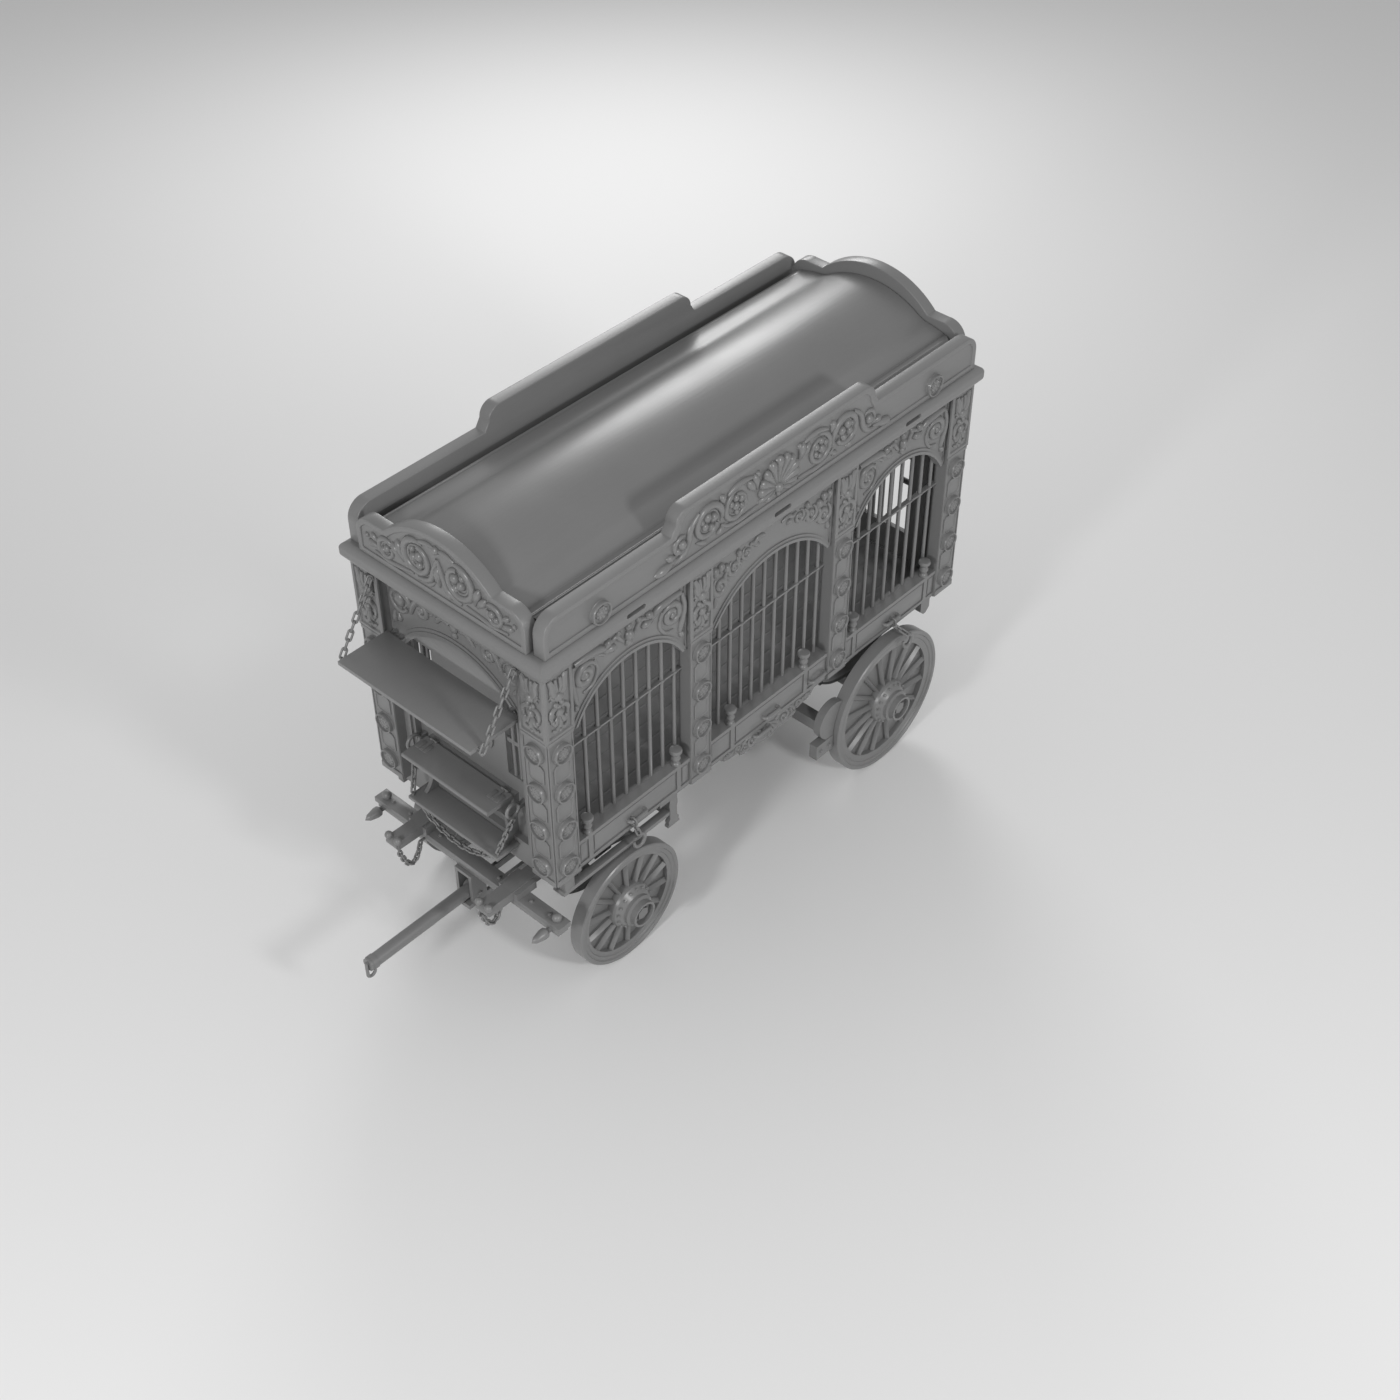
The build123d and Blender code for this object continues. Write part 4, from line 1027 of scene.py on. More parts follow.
@dataclass(frozen=True)
class Rosette:
    """Round boss with a raised ring and a flower."""

    radius: float
    lift: float = 0.036
    foot: float = -0.003
    form: tuple[Spot, ...] = (
        (1.06, 0.12), (1.02, 0.18), (1.02, 0.78), (0.99, 0.94), (0.93, 1.0), (0.87, 0.94),
        (0.83, 0.50), (0.74, 0.42), (0.40, 0.66), (0.04, 0.74),
    )
    petals: int = 8
    petal_root: float = 0.25
    petal_width: float = 0.30
    heart: float = 0.34
    flower_reach: float = 0.64
    flower_level: float = 0.54
    flower_relief: float = 0.70

    def flower(self) -> Carving:
        """Low flower for the middle of the boss.

        Returns:
            The flower about the panel's zero point.
        """
        reach = self.flower_reach * self.radius
        carving = Carving()
        for i in range(self.petals):
            angle = 2 * math.pi * (i + 0.5) / self.petals
            tip = (reach * math.cos(angle), reach * math.sin(angle))
            root = (self.petal_root * tip[0], self.petal_root * tip[1])
            carving.lobe(root, tip, self.petal_width * reach)
        carving.berry((0.0, 0.0), self.heart * reach)
        return carving

    def build(self) -> bpy.types.Object:
        """Makes the boss.

        Returns:
            The boss at the origin, with its axis along local Z.
        """
        rings = [(share * self.radius, level * self.lift) for share, level in self.form]
        disc = Bench.turned([(rings[0][0], self.foot), *rings], sides=32, name="rosette")
        Bench.smooth(disc)
        level = Matrix.Translation((0, 0, self.flower_level * self.lift))
        relief = self.flower().build(level, self.flower_relief, "flower")
        return Bench.join([disc, relief], "rosette")


@dataclass
class PostDressing:
    """Framed head panels, rosettes and sunk panels on the posts' outer faces."""

    layout: Layout
    corner: float = 0.230
    pilaster: float = 0.215
    pilaster_x: float = 0.748
    head_foot: float = 1.323
    head_gap: float = 0.002
    head_proud: float = 0.008
    head_sunk: float = 0.006
    head_steps: tuple[Spot, ...] = ((0.006, 0.004), (0.020, 0.0), (0.006, -0.011))
    corner_lap: float = 0.011
    pilaster_lap: float = 0.004
    fillet: float = 0.012
    fillet_sunk: float = 0.004
    fillet_proud: float = 0.006
    foot_tall: float = 0.05
    collar_tall: float = 0.030
    collar_proud: float = 0.010
    panel_margin: float = 0.040
    panel_gap: float = 0.012
    panel_thick: float = 0.012
    panel_level: float = 0.001
    panel_cut: float = 0.024
    panel_steps: tuple[Spot, ...] = ((0.003, 0.002), (0.007, 0.0), (0.004, -0.007))
    rosette_radius: float = 0.077
    rosette_levels: tuple[float, ...] = (0.145, 0.490, 0.835, 1.180)
    tulip_foot: float = 0.02
    tulip_level: float = 0.005
    tulip_relief: float = 0.85

    def faces(self) -> list[tuple[Matrix, float]]:
        """Every post face.

        Returns:
            The face's matrix, with its origin at the foot's middle, and its width.
        """
        box = self.layout
        rows: list[tuple[Matrix, float]] = []
        corner_x = box.half_length - self.corner / 2
        corner_y = box.half_width - self.corner / 2
        for face, side in SIDES:
            for x, wide in (
                (corner_x, self.corner),
                (self.pilaster_x, self.pilaster),
                (-self.pilaster_x, self.pilaster),
                (-corner_x, self.corner),
            ):
                rows.append((face.plane(box.at(x, side * box.half_width, 0)), wide))
        for face, side in ENDS:
            for y in (-corner_y, corner_y):
                rows.append((face.plane(box.at(side * box.half_length, y, 0)), self.corner))
        return rows

    def head(self, wide: float) -> bpy.types.Object:
        """Proud head panel with a raised border.

        Args:
            wide: The face's width.

        Returns:
            The panel in face coordinates.
        """
        half = wide / 2 + (self.corner_lap if wide == self.corner else self.pilaster_lap)
        top = self.layout.eaves_z - self.layout.base_z - self.head_gap
        tall = top - self.head_foot
        piece = Bench.block(
            (0, self.head_foot + tall / 2, (self.head_proud - self.head_sunk) / 2),
            (2 * half, tall, self.head_proud + self.head_sunk),
        )
        return Bench.panel(piece, self.head_steps)

    def shaft(self, wide: float) -> bpy.types.Object:
        """Edge fillets, foot block and collar of one post face.

        Args:
            wide: The face's width.

        Returns:
            The fillets in face coordinates.
        """
        lap = self.pilaster_lap
        half = wide / 2 - lap
        top = self.head_foot - self.head_gap
        sunk = -self.fillet_sunk
        foot = self.foot_tall
        rows = [
            ((-half, foot, sunk), (self.fillet - half, top, self.fillet_proud)),
            ((half - self.fillet, foot, sunk), (half, top, self.fillet_proud)),
            ((-half, 0.0, sunk), (half, foot, self.collar_proud)),
            ((-half - lap, top - self.collar_tall, sunk), (half + lap, top, self.collar_proud)),
        ]
        return Bench.boxes(rows, edge=0.004, name="post_fillets")

    def sunk_panel(self, wide: float) -> bpy.types.Object:
        """Frame of the eight-sided panel between two rosettes.

        Args:
            wide: The face's width.

        Returns:
            The frame about the panel's middle, in face coordinates.
        """
        half = wide / 2 - self.panel_margin
        room = 0.5 * (self.rosette_levels[1] - self.rosette_levels[0])
        tall = room - self.rosette_radius - self.panel_gap
        piece = Bench.block((0, 0, self.panel_level), (2 * half, 2 * tall, self.panel_thick))
        mesh = piece.data

        def at_corner(edge: bpy.types.MeshEdge) -> bool:
            """Tells an edge that runs along the panel's depth."""
            start, end = (mesh.vertices[i].co for i in edge.vertices)
            return abs(start.z - end.z) > self.panel_thick / 2

        Bench.choose(piece, "EDGE", at_corner)
        bpy.ops.mesh.bevel(offset=self.panel_cut, segments=1)
        return Bench.panel(piece, self.panel_steps)

    def tulip(self) -> Carving:
        """Tulip, berries and hanging drop for a head panel.

        Returns:
            The ornament about the panel's lower middle.
        """
        carving = Carving()
        carving.run([(0.010, 0.330), (0.046, 0.372), (0.050, 0.430), (0.074, 0.488)], 0.027)
        carving.run([(0.006, 0.350), (0.022, 0.405), (0.020, 0.470)], 0.021)
        carving.leaf((0.012, 0.300), 16, 0.090, 70, 2)
        carving.berry((0.024, 0.262), 0.020)
        carving.run([(0.004, 0.238), (0.048, 0.232), (0.074, 0.196), (0.066, 0.148)], 0.020)
        carving.berry((0.056, 0.132), 0.018)
        carving.lobe((0.010, 0.170), (0.046, 0.086), 0.022)
        carving.run([(0.006, 0.072), (0.034, 0.050), (0.064, 0.066)], 0.014)
        carving.mirrored()
        carving.berries(((0.0, 0.322, 0.038), (0.0, 0.238, 0.021), (0.0, 0.190, 0.034)))
        carving.lobe((0.0, 0.160), (0.0, 0.056), 0.024)
        carving.berry((0.0, 0.040), 0.016)
        return carving

    def build(self, dresser: Dresser) -> None:
        """Makes the dressing of every post.

        Args:
            dresser: Finishes the pieces.
        """
        widths = (self.corner, self.pilaster)
        heads = {wide: self.head(wide) for wide in widths}
        shafts = {wide: self.shaft(wide) for wide in widths}
        panels = {wide: self.sunk_panel(wide) for wide in widths}
        boss = Rosette(self.rosette_radius).build()
        level = Matrix.Translation((0, self.head_foot + self.tulip_foot, self.tulip_level))
        tulip = self.tulip().build(level, self.tulip_relief, "tulip")
        framed: list[bpy.types.Object] = []
        bosses: list[bpy.types.Object] = []
        tulips: list[bpy.types.Object] = []
        for place, wide in self.faces():
            framed.append(Bench.copy(heads[wide], place))
            framed.append(Bench.copy(shafts[wide], place))
            tulips.append(Bench.copy(tulip, place))
            for level in self.rosette_levels:
                bosses.append(Bench.copy(boss, place @ Matrix.Translation((0, level, 0))))
            for low, high in zip(self.rosette_levels, self.rosette_levels[1:]):
                middle = Matrix.Translation((0, (low + high) / 2, 0))
                framed.append(Bench.copy(panels[wide], place @ middle))
        for model in (*heads.values(), *shafts.values(), *panels.values(), boss, tulip):
            bpy.data.objects.remove(model)
        for pieces, name, material in (
            (framed, "post_frames", dresser.timber),
            (bosses, "post_rosettes", dresser.carved),
            (tulips, "post_tulips", dresser.carved),
        ):
            piece = Bench.join(pieces, name)
            Bench.smooth(piece)
            dresser.dress(piece, WAGON, material)


@dataclass
class Spandrels:
    """Carved scrolls and fillets between the arches and the eaves."""

    layout: Layout
    wall_y: float = 0.850
    end_x: float = 2.100
    spring: float = 1.271
    rise: float = 0.293
    end_bay: float = 1.40075
    end_bay_half: float = 0.54525
    mid_bay_half: float = 0.6405
    door_half: float = 0.650
    hood_room: float = 0.024
    swell: float = 1.28
    line_half: float = 0.006
    line_top: Spot = (0.026, 0.014)
    line_depth: Spot = (-0.003, 0.007)
    line_inset: float = 0.020

    def horn_scrolls(self, half: float) -> Carving:
        """Large volute, cupped wing and crown leaf of an end bay.

        Args:
            half: Half of the bay's width.

        Returns:
            The ornament about the bay's middle, with v from the post feet.
        """
        carving = Carving(self.spring + self.rise, self.swell)
        edge = partial(inward, half)
        carving.volute(*edge((0.150, 0.080)), 0.098, 165, -1.75, 0.022)
        carving.run(edge((0.235, 0.150), (0.262, 0.060), (0.215, -0.035), (0.13, -0.06)), 0.013)
        carving.run(edge((0.050, 0.205), (0.030, 0.100), (0.048, -0.020), (0.070, -0.110)), 0.021)
        carving.berry(*edge((0.058, -0.140)), 0.022)
        carving.run(edge((0.060, 0.215), (0.170, 0.225), (0.270, 0.212), (0.340, 0.170)), 0.028)
        carving.run(edge((0.200, 0.190), (0.285, 0.165), (0.330, 0.120)), 0.012)
        carving.lobe(*edge((0.310, 0.165), (0.385, 0.232)), 0.026)
        carving.lobe(*edge((0.320, 0.150), (0.430, 0.150)), 0.026)
        carving.run([*edge((0.36, 0.175), (0.43, 0.215)), (0.085, 0.185), (0.045, 0.130)], 0.017)
        carving.lobe((0.120, 0.200), (0.075, 0.250), 0.018)
        carving.mirrored()
        carving.berry((0.0, 0.165), 0.036)
        carving.lobe((0.0, 0.180), (0.0, 0.262), 0.024)
        carving.lobe((0.0, 0.150), (0.0, 0.072), 0.026)
        return carving

    def wave_scrolls(self, half: float) -> Carving:
        """Three falling volutes with lobes on each side of a bay.

        Args:
            half: Half of the bay's width.

        Returns:
            The ornament about the bay's middle, with v from the post feet.
        """
        carving = Carving(self.spring + self.rise, self.swell)
        edge = partial(inward, half)
        carving.volute(*edge((0.110, 0.030)), 0.082, 60, -1.6, 0.020)
        carving.volute(*edge((0.248, 0.105)), 0.068, 70, -1.5, 0.017)
        carving.volute(*edge((0.372, 0.155)), 0.055, 80, -1.5, 0.014)
        carving.berry(*edge((0.165, 0.150)), 0.030)
        carving.berry(*edge((0.290, 0.205)), 0.024)
        carving.lobe(*edge((0.065, 0.120), (0.050, 0.215)), 0.026)
        carving.lobe(*edge((0.110, 0.130), (0.115, 0.222)), 0.026)
        carving.run(edge((0.195, 0.010), (0.150, 0.065), (0.185, 0.130)), 0.016)
        carving.run(edge((0.325, 0.090), (0.285, 0.135), (0.315, 0.190)), 0.014)
        carving.run(edge((0.40, 0.210), (0.45, 0.200), (0.49, 0.225), (0.555, 0.205)), 0.016)
        carving.lobe(*edge((0.43, 0.190), (0.50, 0.155)), 0.018)
        carving.lobe(*edge((0.060, -0.050), (0.055, -0.130)), 0.018)
        carving.mirrored()
        return carving

    def bulb_scrolls(self, half: float) -> Carving:
        """Scrolls with large bulbs for the arch of a box end.

        Args:
            half: Half of the end's width.

        Returns:
            The ornament about the end's middle, with v from the post feet.
        """
        carving = Carving(self.spring + self.rise, self.swell)
        edge = partial(inward, half)
        carving.berry(*edge((0.120, 0.110)), 0.052)
        carving.hoop(*edge((0.125, 0.095)), 0.112, 200, -1.0, 0.020)
        carving.lobe(*edge((0.060, 0.190), (0.045, 0.262)), 0.026)
        carving.lobe(*edge((0.150, 0.200), (0.195, 0.262)), 0.028)
        carving.run(edge((0.225, 0.050), (0.262, 0.140), (0.340, 0.215), (0.430, 0.175)), 0.022)
        carving.volute(*edge((0.335, 0.125)), 0.072, 20, 1.5, 0.018)
        carving.berry(*edge((0.262, 0.205)), 0.026)
        carving.leaf(*edge((0.385, 0.170)), 160, 0.130, 30, 3)
        carving.lobe(*edge((0.390, 0.200), (0.440, 0.258)), 0.024)
        carving.lobe(*edge((0.055, -0.010), (0.045, -0.120)), 0.026)
        carving.lobe(*edge((0.095, -0.020), (0.110, -0.085)), 0.020)
        carving.run([*edge((0.47, 0.110), (0.53, 0.180)), (0.050, 0.165)], 0.018)
        carving.mirrored()
        carving.berry((0.0, 0.165), 0.034)
        carving.lobe((0.0, 0.185), (0.0, 0.262), 0.024)
        carving.lobe((0.0, 0.150), (0.0, 0.080), 0.024)
        return carving

    def fillets(self, half: float) -> bpy.types.Object:
        """Thin raised lines that frame a spandrel.

        Args:
            half: Half of the bay's width.

        Returns:
            The lines about the bay's middle, in face coordinates.
        """
        eaves = self.layout.eaves_z - self.layout.base_z
        below, above = (eaves - drop for drop in self.line_top)
        low = self.spring + 2 * self.line_half
        sunk, proud = self.line_depth
        rows = [((-half, below, sunk), (half, above, proud))]
        for side in (-1, 1):
            u = side * (half - self.line_inset)
            rows.append(((u - self.line_half, low, sunk), (u + self.line_half, above, proud)))
        return Bench.boxes(rows, edge=0.003, name="spandrel_fillets")

    def build(self, dresser: Dresser) -> None:
        """Carves every bay and both ends.

        Args:
            dresser: Finishes the pieces.
        """
        box = self.layout
        bays = (
            (-self.end_bay, self.end_bay_half),
            (self.end_bay, self.end_bay_half),
            (0, self.mid_bay_half),
        )
        carved: list[bpy.types.Object] = []
        lines: list[bpy.types.Object] = []
        for face, side in SIDES:
            for x, half in bays:
                place = face.plane(box.at(x, side * self.wall_y, 0))
                ornament = self.horn_scrolls(half) if x else self.wave_scrolls(half)
                carved.append(ornament.build(place, 1.0, "bay_scrolls"))
                line = self.fillets(half)
                line.data.transform(place)
                lines.append(line)
        for face, side in ENDS:
            place = face.plane(box.at(side * self.end_x, 0, 0))
            ceiling = self.hood_room if face is Face.FRONT else 0.0
            carved.append(self.bulb_scrolls(self.door_half).build(place, 1.0, "end_scrolls", ceiling))
        dresser.dress(Bench.join(carved, "spandrel_scrolls"), WAGON, dresser.carved)
        dresser.dress(Bench.join(lines, "spandrel_fillets"), WAGON, dresser.timber)


@dataclass
class BoardCarving:
    """Scrolls, berries and rosettes on the side boards and the end boards."""

    layout: Layout
    board_foot: float = 2.008
    rosette_x: float = 1.672
    rosette_z: float = 2.098
    rosette_radius: float = 0.082
    swell: float = 1.12
    relief: float = 0.95

    def side_scrolls(self) -> Carving:
        """Shell, berry scrolls and tail leaves about the middle of a side board.

        Returns:
            The ornament, with v from the post feet.
        """
        carving = Carving(self.board_foot, self.swell)
        carving.lobe((0.02, 0.105), (0.135, 0.065), 0.024)
        carving.lobe((0.03, 0.120), (0.200, 0.100), 0.024)
        carving.lobe((0.205, 0.215), (0.245, 0.350), 0.030)
        carving.lobe((0.225, 0.210), (0.305, 0.325), 0.030)
        carving.berry((0.205, 0.335), 0.022)
        carving.run([(0.255, 0.335), (0.335, 0.355), (0.420, 0.352), (0.500, 0.320)], 0.020)
        carving.hoop((0.415, 0.205), 0.118, 95, -1.02, 0.022)
        carving.berries((
            (0.372, 0.240, 0.029), (0.425, 0.265, 0.027), (0.428, 0.205, 0.031),
            (0.470, 0.235, 0.025), (0.372, 0.182, 0.024), (0.415, 0.150, 0.022),
        ))
        carving.run([(0.200, 0.080), (0.290, 0.072), (0.390, 0.066), (0.500, 0.085), (0.565, 0.130)], 0.018)
        carving.lobe((0.520, 0.120), (0.605, 0.070), 0.022)
        carving.lobe((0.530, 0.270), (0.560, 0.360), 0.026)
        carving.hoop((0.685, 0.215), 0.138, 205, -1.0, 0.026)
        carving.berries((
            (0.640, 0.235, 0.034), (0.700, 0.262, 0.034), (0.722, 0.200, 0.031),
            (0.665, 0.170, 0.028), (0.748, 0.245, 0.024),
        ))
        carving.run([(0.770, 0.330), (0.845, 0.260), (0.880, 0.150), (0.940, 0.085), (1.020, 0.075)], 0.024)
        carving.lobe((0.800, 0.110), (0.700, 0.066), 0.022)
        carving.hoop((0.940, 0.175), 0.070, 130, -0.85, 0.018)
        carving.berries(((0.935, 0.180, 0.036), (0.978, 0.150, 0.028)))
        carving.lobe((0.985, 0.115), (1.075, 0.140), 0.026)
        carving.lobe((0.985, 0.095), (1.185, 0.062), 0.034)
        carving.mirrored()
        carving.fan((0.0, 0.120), 0.250, 9, 150)
        carving.lobe((0.0, 0.110), (0.0, 0.050), 0.022)
        return carving

    def end_scrolls(self) -> Carving:
        """Paired berry scrolls about the middle of an end board.

        Returns:
            The ornament, with v from the post feet.
        """
        carving = Carving(self.board_foot, self.swell)
        carving.run([(0.022, 0.395), (0.085, 0.400), (0.160, 0.378)], 0.018)
        carving.hoop((0.190, 0.235), 0.138, 115, -1.05, 0.026)
        carving.berries((
            (0.160, 0.262, 0.036), (0.215, 0.232, 0.034), (0.165, 0.190, 0.030), (0.225, 0.292, 0.024),
        ))
        carving.run([(0.000, 0.320), (0.040, 0.215), (0.085, 0.115), (0.200, 0.072)], 0.022)
        carving.lobe((0.035, 0.120), (0.110, 0.060), 0.020)
        carving.lobe((0.315, 0.130), (0.375, 0.285), 0.030)
        carving.lobe((0.335, 0.120), (0.430, 0.235), 0.028)
        carving.hoop((0.490, 0.145), 0.082, 150, -1.0, 0.019)
        carving.berries(((0.478, 0.155, 0.028), (0.516, 0.128, 0.023)))
        carving.lobe((0.555, 0.150), (0.630, 0.205), 0.022)
        carving.lobe((0.560, 0.115), (0.665, 0.130), 0.024)
        carving.berry((0.672, 0.165), 0.018)
        carving.run([(0.240, 0.085), (0.360, 0.068), (0.480, 0.056), (0.610, 0.068)], 0.016)
        carving.mirrored()
        carving.berry((0.0, 0.392), 0.030)
        carving.lobe((0.0, 0.100), (0.0, 0.270), 0.034)
        return carving

    def build(self, dresser: Dresser) -> None:
        """Carves both side boards and both end boards.

        Args:
            dresser: Finishes the pieces.
        """
        box = self.layout
        pieces = []
        for face, side in SIDES:
            place = face.plane(box.at(0, side * box.half_width, 0))
            pieces.append(self.side_scrolls().build(place, self.relief, "side_scrolls"))
        for face, side in ENDS:
            place = face.plane(box.at(side * box.half_length, 0, 0))
            pieces.append(self.end_scrolls().build(place, self.relief, "end_scrolls"))
        model = Rosette(self.rosette_radius).build()
        for face, side in SIDES:
            for x in (-self.rosette_x, self.rosette_x):
                spot = box.at(x, side * box.half_width, self.rosette_z)
                pieces.append(Bench.copy(model, face.plane(spot)))
        bpy.data.objects.remove(model)
        piece = Bench.join(pieces, "board_carving")
        Bench.smooth(piece, CARVED_ANGLE)
        dresser.dress(piece, WAGON, dresser.carved)


@dataclass
class SillDressing:
    """Raised sill panels, the carved apron and the eyes of the cross bars."""

    layout: Layout
    sill_y: float = 0.862
    low: float = 0.058
    high: float = 0.214
    panel_depth: Spot = (-0.012, 0.009)
    panel_edge: float = 0.010
    post_gap: float = 0.014
    strap_half: float = 0.036
    apron_y: float = 0.858
    bar_y: float = 0.785
    cross_z: float = 1.054
    bays: tuple[tuple[float, float, float, int], ...] = (
        (-1.40075, 0.54525, 0.43525, 9),
        (0.0, 0.6405, 0.4025, 11),
        (1.40075, 0.54525, 0.43525, 9),
    )
    eye_form: tuple[Spot, ...] = (
        (0.014, -0.008), (0.022, -0.008), (0.026, -0.004), (0.026, 0.004), (0.022, 0.008), (0.014, 0.008),
    )

    def panels(self) -> bpy.types.Object:
        """Raised panels between the pin straps.

        Returns:
            The panels of both sides.
        """
        sunk, proud = self.panel_depth
        rows = []
        for centre, half, pin, _ in self.bays:
            reach = half - self.post_gap
            for left, right in (
                (centre - reach, centre - pin - self.strap_half),
                (centre - pin + self.strap_half, centre + pin - self.strap_half),
                (centre + pin + self.strap_half, centre + reach),
            ):
                for side in (-1, 1):
                    low = self.layout.at(left, side * (self.sill_y + sunk), self.low)
                    high = self.layout.at(right, side * (self.sill_y + proud), self.high)
                    rows.append((low, high))
        return Bench.boxes(rows, self.panel_edge, "sill_panels")

    def apron(self) -> Carving:
        """Leaf scrolls of the apron about its middle.

        Returns:
            The ornament, with v from the post feet.
        """
        carving = Carving()
        carving.volute((0.175, -0.062), 0.058, 120, -1.5, 0.015)
        carving.volute((0.330, -0.038), 0.042, 240, 1.4, 0.012)
        carving.run([(0.05, -0.10), (0.12, 0.000), (0.24, -0.004), (0.30, -0.075)], 0.016)
        carving.leaf((0.375, -0.022), -16, 0.115, 20, 3)
        carving.leaf((0.225, -0.105), -10, 0.090, 30, 3)
        carving.berries(((0.250, -0.040, 0.016), (0.262, -0.070, 0.014)))
        carving.mirrored()
        carving.fan((0.0, -0.010), 0.135, 7, 130, -90)
        return carving

    def eyes(self) -> bpy.types.Object:
        """Flat eyes of the cross bar round each upright bar.

        Returns:
            The eyes of both sides.
        """
        model = Bench.turned(self.eye_form, sides=14, name="bar_eye")
        pieces = []
        for centre, half, _, count in self.bays:
            for i in range(count):
                x = centre - half + 2 * half * (i + 0.5) / count
                for side in (-1, 1):
                    spot = self.layout.at(x, side * self.bar_y, self.cross_z)
                    pieces.append(Bench.copy(model, Matrix.Translation(spot)))
        bpy.data.objects.remove(model)
        piece = Bench.join(pieces, "bar_eyes")
        Bench.smooth(piece, CARVED_ANGLE)
        return piece

    def build(self, dresser: Dresser) -> None:
        """Makes the sill dressing.

        Args:
            dresser: Finishes the pieces.
        """
        dresser.dress(self.panels(), WAGON, dresser.timber)
        aprons = []
        for face, side in SIDES:
            place = face.plane(self.layout.at(0, side * self.apron_y, 0))
            aprons.append(self.apron().build(place, 1.0, "apron_scrolls"))
        dresser.dress(Bench.join(aprons, "apron_carving"), WAGON, dresser.carved)
        dresser.dress(self.eyes(), WAGON, dresser.iron)


@dataclass
class Bearers:
    """Cross bearers behind the corbels and the bars that run forward from them under the sills."""

    layout: Layout
    corbel_x: float = 1.000
    bearer_half: float = 0.036
    bearer_y: Spot = (0.460, 0.818)
    bearer_z: Spot = (1.012, 1.150)
    bar_y: Spot = (0.786, 0.847)
    bar_z: Spot = (1.050, 1.086)
    bar_end: float = 2.085
    hanger_x: Spot = (1.980, 2.070)
    hanger_top: float = 1.2455
    lap: float = 0.004
    edge: float = 0.006

    def build(self, dresser: Dresser) -> None:
        """Makes the bearers, bars and hangers of both sides.

        Args:
            dresser: Finishes the piece.
        """
        front = self.corbel_x + self.bearer_half
        rear = self.corbel_x - self.bearer_half
        spans = (
            ((rear, front), self.bearer_y, self.bearer_z),
            ((front - self.lap, self.bar_end), self.bar_y, self.bar_z),
            (self.hanger_x, self.bar_y, (self.bar_z[1] - self.lap, self.hanger_top)),
        )
        rows = []
        for side in (-1, 1):
            for span in spans:
                low, high = zip(*span)
                rows.append((self.layout.beside(low, side), self.layout.beside(high, side)))
        piece = Bench.boxes(rows, self.edge, "sill_bearers")
        dresser.dress(piece, WAGON, dresser.timber)


